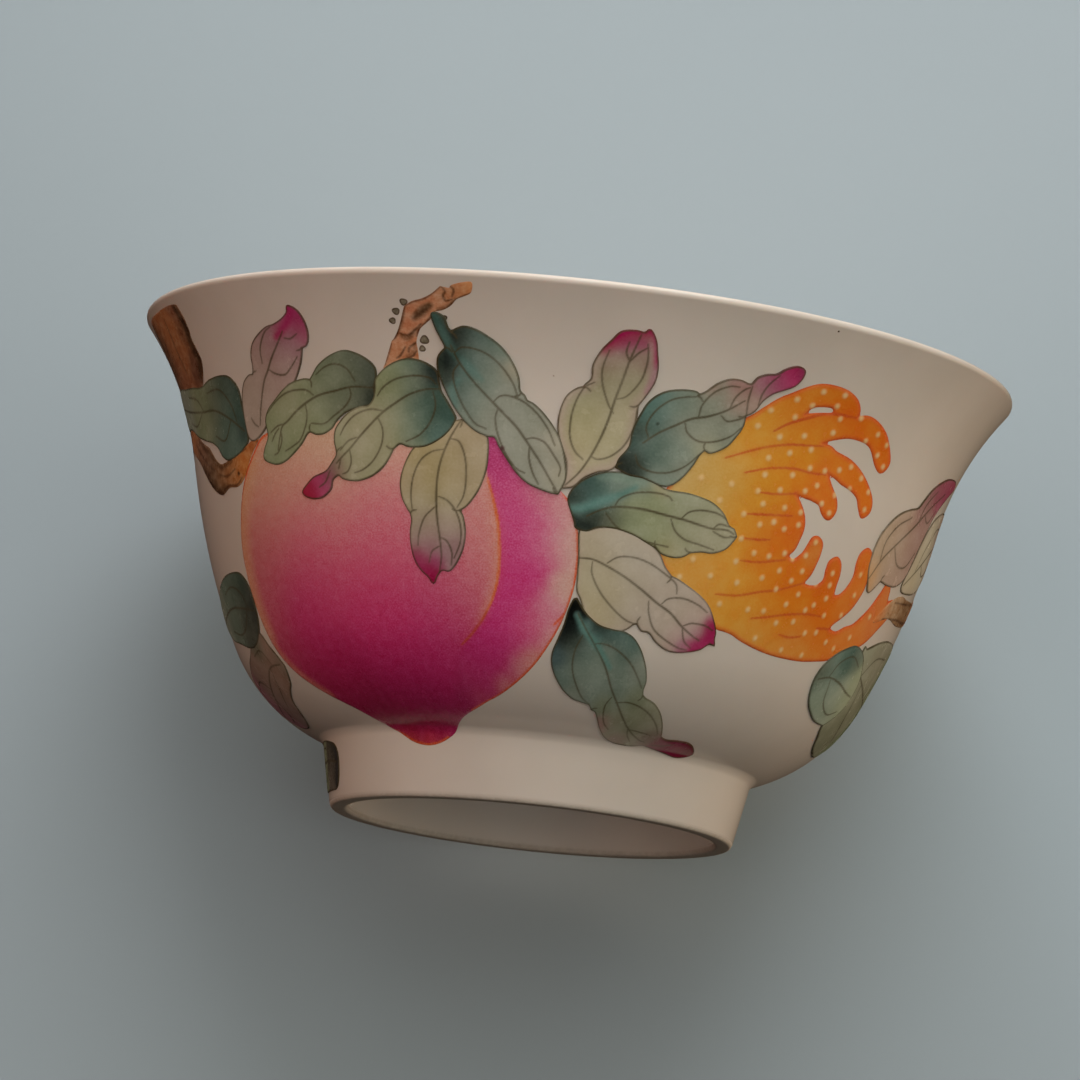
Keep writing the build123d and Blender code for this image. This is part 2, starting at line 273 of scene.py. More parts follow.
def laid(tint, colour, k):
    """A tint with a colour laid over it, as thickly as k says at each point."""
    k = k[:, None]
    return tint * (1 - k) + np.array(PAINT[colour]) * k


# ---- one enamel ------------------------------------------------------------
GRID = 0.12                 # usual spacing of an enamel's points, mm
BLEED = 0.12                # an outlined enamel runs this far past its outline
EDGE = 0.3                  # width of the rounding at its edge
FILM = 0.004                # its edge rises this far off the glaze
LOWEST, LAYER = 0.05, 0.035     # or, if it has a level, LOWEST and LAYER for each level
RELIEF = 0.03               # its middle usually rises this much more
ROOT = 0.05                 # how far its sides reach into the glaze
PRESSING = 5                # distance over which the brush presses more and less
WASH_SWELL, WASH_SOFT = 0.4, 0.9    # thinning of a wash, and its soft edge for its width
FIRST_LINE = 1.25           # how much broader the first of a set of lines is
LINE_COVER = (0.8, 0.2)     # of a light brush, and what a heavy one adds
HALO, HALO_COVER = 0.9, 0.1     # colour bleeds this far beside a line, and this strongly
INK_WIDTH, INK_COVER = (0.75, 0.5), (0.62, 0.28)    # of a light brush, and what is added
DOT_SOFT, DOT_COVER = 0.75, 0.9     # a dot's soft edge for its radius, and its strength
BRIGHTEST = 0.95            # no paint is lighter


def cut_out(loops, growth, step):
    """Grid cells within closed lines, with the points outside pulled in onto the edge.

    Returns the grid, the points used, their places and depths inside the edge, and the faces.
    """
    every = np.vstack(loops)
    lo, hi = every.min(0) - growth - 2 * step, every.max(0) + growth + 2 * step
    u, s = np.arange(lo[0], hi[0], step), np.arange(lo[1], hi[1], step)
    inside = np.zeros((len(u), len(s)), bool)
    away = np.full(inside.shape, SEARCH)
    edge_u, edge_s = np.zeros(inside.shape), np.zeros(inside.shape)
    for loop in loops:
        for a, b in zip(loop[:-1], loop[1:]):
            rows = (s >= min(a[1], b[1])) & (s < max(a[1], b[1]))
            if rows.any():
                cross = a[0] + (s[rows] - a[1]) / (b[1] - a[1]) * (b[0] - a[0])
                inside[:, rows] ^= u[:, None] > cross
        for window, distance, qx, qy, _ in near(u, s, loop, SEARCH):
            closer = distance < away[window]
            away[window] = np.where(closer, distance, away[window])
            edge_u[window] = np.where(closer, qx, edge_u[window])
            edge_s[window] = np.where(closer, qy, edge_s[window])
    depth = np.where(inside, away, -away)

    kept = depth > -growth
    i, j = np.nonzero(kept[:-1, :-1] | kept[1:, :-1] | kept[1:, 1:] | kept[:-1, 1:])
    wide = len(s)
    corner, across = i * wide + j, (i + 1) * wide + j
    used, quads = np.unique(
        np.stack([corner, across, across + 1, corner + 1], 1), return_inverse=True
    )
    i, j = used // wide, used % wide
    x, y, deep = u[i], s[j], depth[i, j]
    out = deep < -growth
    pull = growth / np.maximum(-deep, 1e-9)
    x = np.where(out, edge_u[i, j] + (x - edge_u[i, j]) * pull, x)
    y = np.where(out, edge_s[i, j] + (y - edge_s[i, j]) * pull, y)
    deep = np.where(out, -growth, deep)
    return (u, s), (i, j), x, y, deep, quads.reshape(-1, 4)


def brushed(spec, grid, at, x, y, deep, heavy):
    """Colour and extra rise at each point of an enamel, from everything painted on it."""
    tint = spec["colour"](x, y) if "colour" in spec else blend_tints(x, y, spec["tints"])
    tint = tint * spec.get("shade", 1)
    rise = np.zeros(len(x))
    if "margin" in spec:
        colour, strength, band = spec["margin"]
        tint = laid(tint, colour, strength * ease(1 - deep / band))
    for colour, width, strength, points in spec.get("washes", ()):
        cover = stroke(*grid, line_of(points), width, WASH_SWELL, WASH_SOFT * width)[at]
        tint = laid(tint, colour, strength * ease(cover))
    for colour, width, strength, lines in spec.get("strokes", ()):
        cover = np.zeros(len(x))
        for k, points in enumerate(lines):
            line = line_of(points) if isinstance(points, list) else points
            body = stroke(*grid, line, width * (FIRST_LINE if k == 0 else 1))[at]
            halo = HALO_COVER * stroke(*grid, line, width + HALO, soft=HALO)[at]
            pressed = body * (LINE_COVER[0] + LINE_COVER[1] * heavy)
            cover = np.maximum(cover, pressed + halo * (1 - body))
        tint = laid(tint, colour, strength * cover)
    if "ink" in spec:
        colour, width = spec["ink"]
        pen = width * (INK_WIDTH[0] + INK_WIDTH[1] * heavy)
        cover = np.clip((pen - deep) / PEN_SOFT + 0.5, 0, 1)
        tint = laid(tint, colour, cover * (INK_COVER[0] + INK_COVER[1] * heavy))
    for azimuth, height, radius, colour in spec.get("dots", ()):
        distance = np.hypot(x - azimuth * DEGREE, y - height)
        k = ease((radius - distance) / (DOT_SOFT * radius))
        tint = laid(tint, colour, DOT_COVER * k)
        rise = rise + spec.get("dot_rise", 0) * k
    return tint, rise


def paint(name, spec, slot, is_extra=False):
    """Build one enamel and colour it, point by point.  An extra one has no node in the CAD."""
    growth = BLEED if "ink" in spec else 0.0
    loops = [line_of(loop, closed=True) for loop in spec["loops"]]
    grid, at, x, y, deep, quads = cut_out(loops, growth, spec.get("step", GRID))
    heavy = 0.5 + 0.5 * wander(x, y, PRESSING, sum(map(ord, name)))
    tint, rise = brushed(spec, grid, at, x, y, deep, heavy)

    level = spec.get("level", 0)
    base = LOWEST + LAYER * level if level else FILM
    lift = ease((deep + growth) / EDGE) + rise
    top = on_wall(x, y, base + spec.get("relief", RELIEF) * lift)
    ends = np.stack([quads, np.roll(quads, -1, 1)], -1).reshape(-1, 2)
    key = np.sort(ends, 1) @ np.array([len(x), 1])
    _, first, count = np.unique(key, return_index=True, return_counts=True)
    rim = ends[first[count == 1]]
    rim_points, rim_at = np.unique(rim, return_inverse=True)
    rim_at = rim_at.reshape(-1, 2) + len(x)
    under = on_wall(x[rim_points], y[rim_points], np.full(len(rim_points), -ROOT))
    skirt = np.stack([rim_at[:, 0], rim_at[:, 1], rim[:, 1], rim[:, 0]], 1)
    order = np.concatenate([np.arange(len(x)), rim_points])
    piece = add_mesh(
        "painted_" + name, np.vstack([top, under]), np.vstack([quads, skirt]),
        [] if is_extra else [name],
    )
    colours = np.column_stack([np.clip(tint, 0, BRIGHTEST), np.ones(len(tint))])[order]
    layer = piece.data.color_attributes.new("Tint", "FLOAT_COLOR", "POINT")
    layer.data.foreach_set("color", colours.astype(np.float32).ravel())
    store(piece, "Wall", "FLOAT_VECTOR", "vector", np.column_stack([x, y, 0 * x])[order])
    piece.data.materials.append(enamels[slot])


# ---- colours, linear ------------------------------------------------------
PAINT = {
    "ink": (0.1, 0.08, 0.04), "wine_ink": (0.13, 0.05, 0.06), "bark_ink": (0.1, 0.045, 0.02),
    "black": (0.018, 0.028, 0.026), "blackgreen": (0.07, 0.1, 0.08), "deepteal": (0.09, 0.18, 0.16),
    "teal": (0.155, 0.27, 0.235), "bright": (0.17, 0.36, 0.33), "bluegreen": (0.31, 0.44, 0.37),
    "sage": (0.42, 0.51, 0.42), "green": (0.5, 0.57, 0.4), "pale": (0.61, 0.62, 0.42),
    "palest": (0.71, 0.72, 0.54), "cream": (0.74, 0.67, 0.5), "sand": (0.67, 0.61, 0.36),
    "olive": (0.34, 0.42, 0.27), "moss": (0.45, 0.53, 0.31), "darkolive": (0.21, 0.25, 0.18),
    "pinkbrown": (0.56, 0.38, 0.35), "rosebeige": (0.6, 0.49, 0.42), "mauve": (0.52, 0.27, 0.34),
    "magenta": (0.58, 0.09, 0.25), "crimson": (0.5, 0.03, 0.16), "orange": (0.95, 0.25, 0.04),
    "vermilion": (0.9, 0.17, 0.05), "brown": (0.56, 0.27, 0.13), "darkbrown": (0.24, 0.13, 0.07),
    "umber": (0.11, 0.06, 0.028), "lichen": (0.3, 0.27, 0.2), "spot": (0.96, 0.68, 0.34),
    "seed": (0.62, 0.03, 0.07), "pith": (0.92, 0.62, 0.5), "apricot": (0.95, 0.56, 0.2),
    "flame": (0.9, 0.26, 0.07), "brick": (0.62, 0.09, 0.04), "rust": (0.72, 0.12, 0.03),
    "blush": (0.88, 0.52, 0.3), "ember": (0.9, 0.42, 0.26), "garnet": (0.46, 0.012, 0.11),
    "soot": (0.05, 0.05, 0.05),
}

# ---- leaves ---------------------------------------------------------------
# What is said of each enamel, painted in this order:
#   loops    closed outlines; the point spacing of its mesh is step
#   tints    touches of paint that blend into each other, all dimmed by shade
#   margin   (colour, strength, width) of a band along its edge
#   washes   (colour, width, strength, line), broad and soft
#   lines    lines drawn with a pen; a leaf's first is its midrib
#   strokes  (colour, width, strength, lines), for lines that need their own colour
#   ink      (colour, width) of its outline
#   dots     (azimuth, height, radius, colour), raised by dot_rise
# level says how far over the others it lies, and relief how much its middle rises.
LEAVES = {}
LEAVES["leaf_left_pink"] = dict(
    level=2, shade=(0.92, 0.96, 0.96),
    loops=[[
        (-42.8, 51), (-41.6, 50.4), (-40.8, 49), (-40.7, 47.6), (-41.3, 46.5), (-42.3, 46.2, 0),
        (-42.8, 45), (-43.6, 43.8), (-45, 42.4), (-46.5, 42), (-50, 39.5), (-53, 37.3),
        (-55.5, 36.4), (-57, 37), (-57.7, 39), (-57.6, 41.2), (-56.6, 42.8), (-55, 43.6),
        (-53.8, 43.7, 0), (-53.4, 44.5), (-53.2, 45.8), (-52.2, 47.1), (-50.3, 48.1), (-48.3, 48.8),
        (-46.8, 49), (-45, 49.5), (-43.6, 50.2), (-43.2, 50.9)]],
    lines=[
        [(-53.6, 38), (-53, 40), (-51.5, 42.6), (-50, 44), (-48.8, 45.2), (-46.6, 47),
         (-45.2, 48.2)],
        [(-51, 44.8), (-50.7, 46.5), (-49, 48.2), (-47.5, 48.8)],
        [(-49.7, 44), (-48.5, 43.5), (-46.5, 43.3), (-44.8, 44.2), (-43.4, 45.2)],
        [(-45.2, 47.4), (-44, 47.3), (-42.6, 47.8)], [(-55.8, 38.9), (-55, 38.2), (-54, 37.8)]],
    tints=[
        (-55, 42, "rosebeige"), (-55, 38.5, "rosebeige"), (-50, 42, (0.6, 0.46, 0.41)),
        (-51, 46, "pinkbrown"), (-46, 44.5, (0.62, 0.44, 0.42)), (-47, 47.2, "mauve", 1.6),
        (-43, 48.6, "magenta", 1.2), (-42.4, 50.2, "crimson", 1.2), (-45.6, 48.6, "crimson", 0.9),
        (-41.3, 47.3, (0.56, 0.16, 0.26), 0.9), (-44, 46.8, "mauve", 1.2)],
    washes=[("crimson", 0.9, 0.8, [(-46.8, 47.6), (-45.2, 48.4), (-43.6, 49.4), (-42.6, 50.6)])])
LEAVES["leaf_left_green"] = dict(
    level=3, shade=(0.8, 0.8, 0.82),
    loops=[[
        (-30.2, 39.8), (-30.4, 41.5), (-29.9, 42.8), (-30.1, 43.8), (-31.2, 44.6), (-33, 45.3),
        (-35, 45.6), (-37.3, 45.1), (-39.6, 44.1), (-41, 43), (-41.6, 42.5, 0), (-43, 42.6),
        (-45.2, 42.3), (-47.3, 41.6), (-49.5, 40.5), (-51.3, 39.5), (-52.1, 38.3), (-51.7, 36.6),
        (-52.8, 35.2), (-53.1, 34.3), (-52, 33.8), (-50, 33.5), (-48, 33.8), (-46, 34.6),
        (-44.2, 35.6), (-43, 36.6), (-42.3, 36.8, 0), (-41, 36.5), (-39.5, 36.6), (-38, 37.2),
        (-37.1, 38), (-35, 39), (-32, 39.5)]],
    lines=[
        [(-30.5, 41.5), (-34, 41.6), (-37, 41.2), (-40, 40.8), (-42.5, 40.1), (-44.8, 39.2),
         (-47, 38.1), (-48.2, 37.6), (-48.8, 36.6), (-49.5, 35)],
        [(-33.4, 42.2), (-34.6, 43.6), (-36.5, 44.2), (-38.5, 43.9), (-40.3, 43.1)],
        [(-34.5, 41.6), (-34.3, 40.6), (-35.5, 39.4), (-37.6, 38.4), (-39.5, 37.6), (-42, 37.7)],
        [(-41.2, 40.8), (-42.5, 41.4), (-44.5, 41.5), (-47, 41.2), (-49.5, 40.3), (-51.5, 39.2)],
        [(-43, 40), (-42.8, 38.8), (-43.1, 37.6), (-44.3, 36), (-46, 35.3), (-47.8, 34.8)],
        [(-48.2, 37.8), (-49.5, 37.6), (-51, 37)],
        [(-48.6, 37.2), (-48.5, 36), (-49.4, 34.8), (-50.4, 34.5)],
        [(-50.8, 36), (-50, 36.8), (-49, 37.4)]],
    tints=[
        (-31, 43.5, "blackgreen", 1.4), (-31, 40.4, "black", 1.3),
        (-33.5, 44.4, (0.29, 0.34, 0.27)), (-36, 43, "olive"), (-36, 40, "darkolive", 1.6),
        (-39.5, 42.4, "olive"), (-40, 39.3, (0.48, 0.56, 0.38)), (-44, 38, "moss"),
        (-47, 40, "pale"), (-45, 37, "moss"), (-43, 41.9, "moss", 1), (-50, 38.4, "moss"),
        (-50, 35, (0.42, 0.52, 0.32)), (-47.5, 36, (0.5, 0.58, 0.36))])
LEAVES["leaf_over_peach"] = dict(
    level=4, shade=(0.76, 0.76, 0.72),
    loops=[[
        (-19.8, 41.5), (-20.2, 43.2), (-21, 43.9), (-22.6, 44.5), (-24.6, 44.7), (-26.6, 44.3),
        (-28.4, 43.5), (-29.8, 42.4), (-30, 41.4), (-30.4, 40.2), (-31.4, 39.4), (-32.8, 39.3),
        (-34.8, 38.7), (-36.3, 37.8), (-37.3, 36.8), (-37.5, 35.6), (-37.2, 34.2), (-38.2, 33.2),
        (-39.5, 32.3), (-42, 31.7), (-43.6, 30.9), (-44.6, 30.2), (-44, 29.7), (-42.2, 29.4),
        (-40.4, 29.6), (-38.8, 30.4), (-38.3, 31.4), (-37.3, 31.9), (-36.9, 31.9), (-36, 31.5),
        (-33.6, 31.3), (-31, 31.8), (-29, 32.8), (-27.8, 34), (-27.2, 34.8, 0), (-26, 35.4),
        (-24.5, 35.1), (-22, 35.2), (-19.8, 36), (-18.2, 37.1), (-17.4, 38.2), (-17.6, 38.8),
        (-18.8, 40.2)]],
    lines=[
        [(-19.8, 41.5), (-22, 41.4), (-24.5, 40.8), (-27, 39.7), (-29, 38.7), (-31, 37.4),
         (-33, 36), (-34.5, 34.9), (-36, 34), (-37.3, 33.2)],
        [(-20.3, 42), (-21.3, 42.7), (-23.6, 42.9), (-26.5, 42.5), (-28.6, 41.6), (-29.7, 40.6)],
        [(-20.8, 41.2), (-20.4, 39.6), (-21.2, 37.8), (-22.8, 36.4), (-25, 35.6)],
        [(-29.8, 38.3), (-28.9, 36.9), (-29.1, 35.2), (-30.5, 33.5), (-32.3, 32.5), (-34, 32.1)],
        [(-28.7, 38.9), (-31, 39.1), (-33.6, 38.5), (-35.4, 37.4), (-36.4, 36.3)],
        [(-33.4, 36), (-35, 35.6), (-36.5, 34.6)],
        [(-34.8, 34.8), (-34.5, 33.4), (-35.2, 32.3), (-36.2, 32)],
        [(-36.2, 35), (-37.3, 34.4), (-38.2, 33.2)], [(-36.9, 32.6), (-36.4, 33.8)],
        [(-38.6, 32.4), (-39.6, 31.2), (-41, 30.6)]],
    tints=[
        (-19.6, 43.2, (0.016, 0.028, 0.035), 1.2), (-21, 43.6, (0.07, 0.1, 0.1), 1.2),
        (-22, 40, "deepteal", 1.2), (-18.8, 38.6, "deepteal", 1.4), (-20.6, 41, "teal", 0.6),
        (-22.5, 38.2, "teal", 1.3), (-20.3, 36.7, (0.24, 0.4, 0.38), 1),
        (-24.5, 43.6, "bluegreen", 1.3), (-24, 41.9, "sage", 1), (-24, 38.6, "bluegreen", 1.4),
        (-27, 43.2, "moss", 1.2), (-27.5, 41, "green", 1.4), (-26.5, 37.5, "green", 1.6),
        (-24.4, 36, "bluegreen", 1), (-29.6, 41.5, "moss", 1), (-32, 38.2, "pale"),
        (-31, 35.4, "palest"), (-31.5, 33, "pale"), (-28.8, 34, "pale"), (-34.6, 36.6, "palest"),
        (-36.4, 35.4, "moss", 1), (-35.4, 33, "palest", 1.2),
        (-37.4, 33.4, (0.34, 0.13, 0.17), 0.9), (-36.6, 32.4, (0.5, 0.34, 0.28), 0.6),
        (-38.4, 31.6, (0.4, 0.12, 0.2), 0.9), (-40.4, 30.9, (0.8, 0.14, 0.36), 1),
        (-43, 30, (0.6, 0.03, 0.1), 1)])
LEAVES["leaf_hanging"] = dict(
    level=3, shade=(0.82, 0.78, 0.76),
    loops=[[
        (-16.4, 38.2, 0), (-17.6, 37.9), (-19.2, 36.8), (-20.6, 36.2), (-22, 35.7), (-23.8, 34.8),
        (-25.2, 33), (-25.9, 31.2), (-25.7, 29.6), (-24.9, 28.4), (-24.3, 27.8, 0), (-24.1, 27),
        (-24.4, 25.6), (-24.3, 24), (-23.8, 22.6), (-22.9, 21.6), (-21.6, 20.8), (-20.7, 20.1),
        (-20, 21), (-19.1, 21.6), (-17.8, 21.6), (-16.6, 22.6), (-15.6, 24.2), (-15.3, 26),
        (-15.7, 27.6), (-16.3, 28.3, 0), (-15, 29), (-13.4, 30.7), (-12.4, 32.8), (-12.2, 34.8),
        (-12.5, 36.6), (-14, 37.3)]],
    lines=[
        [(-16.6, 38), (-18, 36.2), (-19.3, 33.8), (-19.9, 31.5), (-20, 29), (-19.8, 27),
         (-19.4, 25), (-19.2, 23), (-19.6, 21.3)],
        [(-19, 34.9), (-20.8, 34.6), (-22.6, 33.6), (-23.8, 31.8), (-24.2, 29.8), (-24, 28)],
        [(-17.9, 36.1), (-16.6, 35.8), (-15.6, 34.2), (-15.3, 32), (-15.6, 30), (-16.6, 28.6)],
        [(-20.3, 28.5), (-22, 27.3), (-23, 25.4), (-23.2, 24.2)],
        [(-19.6, 29.7), (-18.2, 29.3), (-16.8, 28.2), (-16, 26.6), (-16, 24.8), (-17, 23)],
        [(-19.3, 25.2), (-18.2, 24.8), (-17.4, 23.6), (-17.5, 22.2)],
        [(-19.6, 24.2), (-20.8, 23.6), (-21.3, 22.4)]],
    tints=[
        (-14, 34, "cream"), (-14, 36.6, "cream"), (-17.4, 34, "sand"), (-17.5, 31, "sand"),
        (-22, 31.5, "sand"), (-21.5, 33.6, "sand"), (-24.8, 31, "cream", 1.2),
        (-22.6, 29, "palest", 1.4), (-18, 28.8, "palest", 1.2), (-14.4, 30.6, "cream"),
        (-22.6, 26.2, (0.66, 0.58, 0.5), 1.3), (-17.5, 26.6, (0.66, 0.56, 0.52), 1.3),
        (-20.3, 27, (0.62, 0.52, 0.46), 1.2), (-21.6, 24.4, "mauve", 1.1),
        (-16.6, 24.2, (0.6, 0.42, 0.45), 1.1), (-18.4, 23.4, (0.6, 0.42, 0.47), 0.9),
        (-22.8, 22.6, (0.56, 0.05, 0.2), 0.9), (-20.8, 21, (0.5, 0.015, 0.12), 0.9),
        (-19.9, 22.6, (0.58, 0.08, 0.28), 0.6)])
LEAVES["leaf_large_teal"] = dict(
    level=6, shade=(1, 0.9, 0.93),
    loops=[[
        (-20.4, 50), (-20.1, 48.6), (-19.2, 47), (-18.7, 46.2, 0), (-19.8, 45.2), (-20, 44),
        (-19.6, 42.8), (-18.8, 41.4), (-17.6, 39.8), (-16, 38.3), (-14.2, 37.2), (-12.4, 36.7),
        (-11.2, 36.6), (-10.4, 35.6), (-9.8, 35), (-8.8, 34), (-7.4, 32.8), (-5.8, 31.9),
        (-4, 31.4), (-2.4, 31.1), (-1.2, 31, 0), (-0.7, 31.8), (-0.3, 32.9), (-0.6, 34.4),
        (-1.2, 36), (-2.2, 37.5), (-3.4, 38.7), (-4.8, 39.8), (-6, 40.5), (-6.9, 40.8),
        (-7.3, 41.3), (-7.8, 41.6, 0), (-8.1, 42), (-8.4, 43.4), (-9.4, 45), (-10.8, 46.4),
        (-12.4, 47.4), (-14.4, 48.3), (-16, 48.6), (-17.2, 48.3), (-17.8, 47.9, 0), (-18.4, 48.4),
        (-19, 49.7)]],
    lines=[
        [(-18, 46.5), (-16.8, 44.6), (-14.8, 42.6), (-12.4, 40.8), (-10.4, 39.4), (-8.2, 37.9),
         (-6.2, 36.1), (-4.2, 34.2), (-2.4, 32.3), (-1.3, 31.2)],
        [(-17.4, 45.7), (-16.4, 46.3), (-14.6, 46.2), (-12.6, 45.6), (-10.6, 44.3), (-9, 42.6),
         (-8.2, 41.1)],
        [(-16.9, 44.4), (-17.7, 43.4), (-17.4, 41.8), (-16.2, 39.8), (-14.4, 38), (-12.6, 37.4)],
        [(-11.6, 40.5), (-10.8, 41.1), (-9.4, 41.2), (-7.4, 40.7), (-5.4, 39.6), (-3.6, 38),
         (-2.3, 36.2)],
        [(-11, 39.7), (-11.3, 38.6), (-10.8, 36.9), (-9.4, 34.8), (-7.8, 33.4), (-6.4, 32.9)],
        [(-6.6, 36.6), (-5.4, 36.8), (-3.8, 36.4), (-2.4, 35.2), (-1.2, 33.9), (-1.3, 32.9)],
        [(-6, 35.9), (-5.9, 34.5), (-5.2, 33), (-4.2, 31.8)]],
    tints=[
        (-19.6, 49, (0.11, 0.16, 0.13), 0.8), (-18.8, 47.2, "black", 0.9),
        (-17.2, 47.6, (0.01, 0.016, 0.014), 0.8), (-16, 47.6, "blackgreen", 0.9),
        (-14, 47.4, "teal", 1.1), (-18.6, 44.6, "black", 1), (-18.8, 42.6, "blackgreen", 1),
        (-15, 45, "teal", 1.3), (-17, 41, "teal", 1.2), (-15.6, 43.6, "bright", 0.7),
        (-11.8, 46, "bluegreen", 1.1), (-12.5, 43.5, "bluegreen", 1.4), (-10, 43.4, "sage", 1.3),
        (-9.2, 44, "palest", 0.7), (-14.4, 41, "bluegreen", 1.3), (-12.6, 38.8, "sage", 1.4),
        (-9.2, 40.2, "sage", 1.2), (-15.4, 39, "bluegreen", 0.9), (-6, 38.5, "sage"),
        (-9, 36.8, "sage"), (-4.5, 36.2, (0.48, 0.53, 0.42)), (-7, 34, "sage"),
        (-3, 34, (0.5, 0.54, 0.44)), (-2, 36.6, "palest", 1), (-4.6, 32.6, "sage"),
        (-1.6, 33, "pale", 1)],
    washes=[
        ("bright", 0.9, 0.5, [(-17, 42.6), (-17.8, 41.4), (-17.4, 39.6)]),
        ("bright", 0.8, 0.4, [(-16.4, 45), (-15, 43.8), (-13.6, 42.8)]),
        ("deepteal", 0.95, 0.95, [(-20.2, 50.2), (-19.2, 48.2), (-18.2, 46.5), (-17.2, 45.2)]),
        ("blackgreen", 0.7, 0.6, [(-19.4, 45.6), (-19.6, 44), (-19.2, 42.4)])],
    dots=[(-10, 35.4, 0.42, "wine_ink")])
LEAVES["leaf_top_pale"] = dict(
    level=4, shade=(0.86, 0.84, 0.8), margin=("rosebeige", 0.75, 1.3),
    loops=[[
        (-0.6, 31.7, 0), (-0.2, 32.8), (-0.3, 34.6), (-1.4, 36.4), (-2, 38), (-2, 39.8),
        (-1.3, 41.6), (0, 42.6), (1, 42.9, 0), (1.2, 43.2), (2, 44), (2, 45.5), (2.9, 47.2),
        (4, 48.4), (5.2, 49.6), (7, 49.9), (8.2, 49.8), (8.9, 50.2), (9.8, 49.2), (10.3, 47.8),
        (10.8, 46), (10.7, 44.4), (9.8, 42.8), (8.9, 41.6, 0), (9, 40.5), (8.9, 39), (8.5, 37),
        (7.8, 35.9), (7, 34.8), (6, 34.2), (4.5, 33.9), (2.5, 33.1), (1, 32)]],
    lines=[
        [(-0.2, 32), (1.6, 33.5), (3, 35.3), (4.2, 37.5), (5, 39.6), (5.6, 42), (6.2, 44),
         (6.8, 46.4), (7.3, 48), (7.8, 49.6)],
        [(2, 35), (0.7, 35.8), (-0.2, 37.2), (-0.4, 39), (0, 41), (1, 42.8), (2.4, 43.6)],
        [(3.2, 35.4), (4.3, 35.2), (6.2, 35.8), (7.9, 37.2), (8.8, 39.2), (8.9, 41.2)],
        [(5.6, 40.4), (4.6, 41.5), (3.5, 43.6), (3.3, 45.4), (3.9, 47.4)],
        [(5.8, 42), (7.2, 42.5), (8.7, 44.2), (9.2, 45.8), (9.2, 47.4), (8.9, 48.6)],
        [(6.8, 46.4), (6.2, 47.4), (6.4, 48.6)], [(6.9, 46.4), (7.8, 47.4), (9, 48.2)]],
    tints=[
        (0, 33, "cream"), (2, 40, "pale"), (2.4, 37.6, "sand"), (6, 37, "pale"), (7, 39.6, "cream"),
        (4.6, 34.6, "cream"), (4.5, 43.8, (0.5, 0.47, 0.34)), (7.4, 44.4, (0.6, 0.58, 0.42)),
        (4.6, 46.4, (0.55, 0.36, 0.36), 1.2), (8.3, 46.6, (0.58, 0.42, 0.4), 1.1),
        (4.2, 48.2, (0.6, 0.24, 0.38), 0.8), (6.6, 49.4, (0.42, 0.01, 0.1), 1),
        (6.5, 47.9, (0.46, 0.2, 0.3), 0.8), (10.3, 46.2, "mauve", 0.7),
        (8.4, 48.6, (0.52, 0.2, 0.3), 0.6)],
    washes=[
        ("magenta", 1.6, 0.4, [(5.4, 48.2), (7, 48.6), (8.6, 48.4)]),
        ("garnet", 2.1, 1, [(3, 47.8), (4.6, 49.2), (6.2, 50), (9, 50.2)]),
        ("crimson", 0.9, 0.95, [(9.5, 50.2), (10.2, 48.8), (10.6, 47.2), (10.8, 46.2)]),
        ("mauve", 0.9, 0.7, [(10.8, 46.2), (10.6, 44.8), (10, 43.2)])])
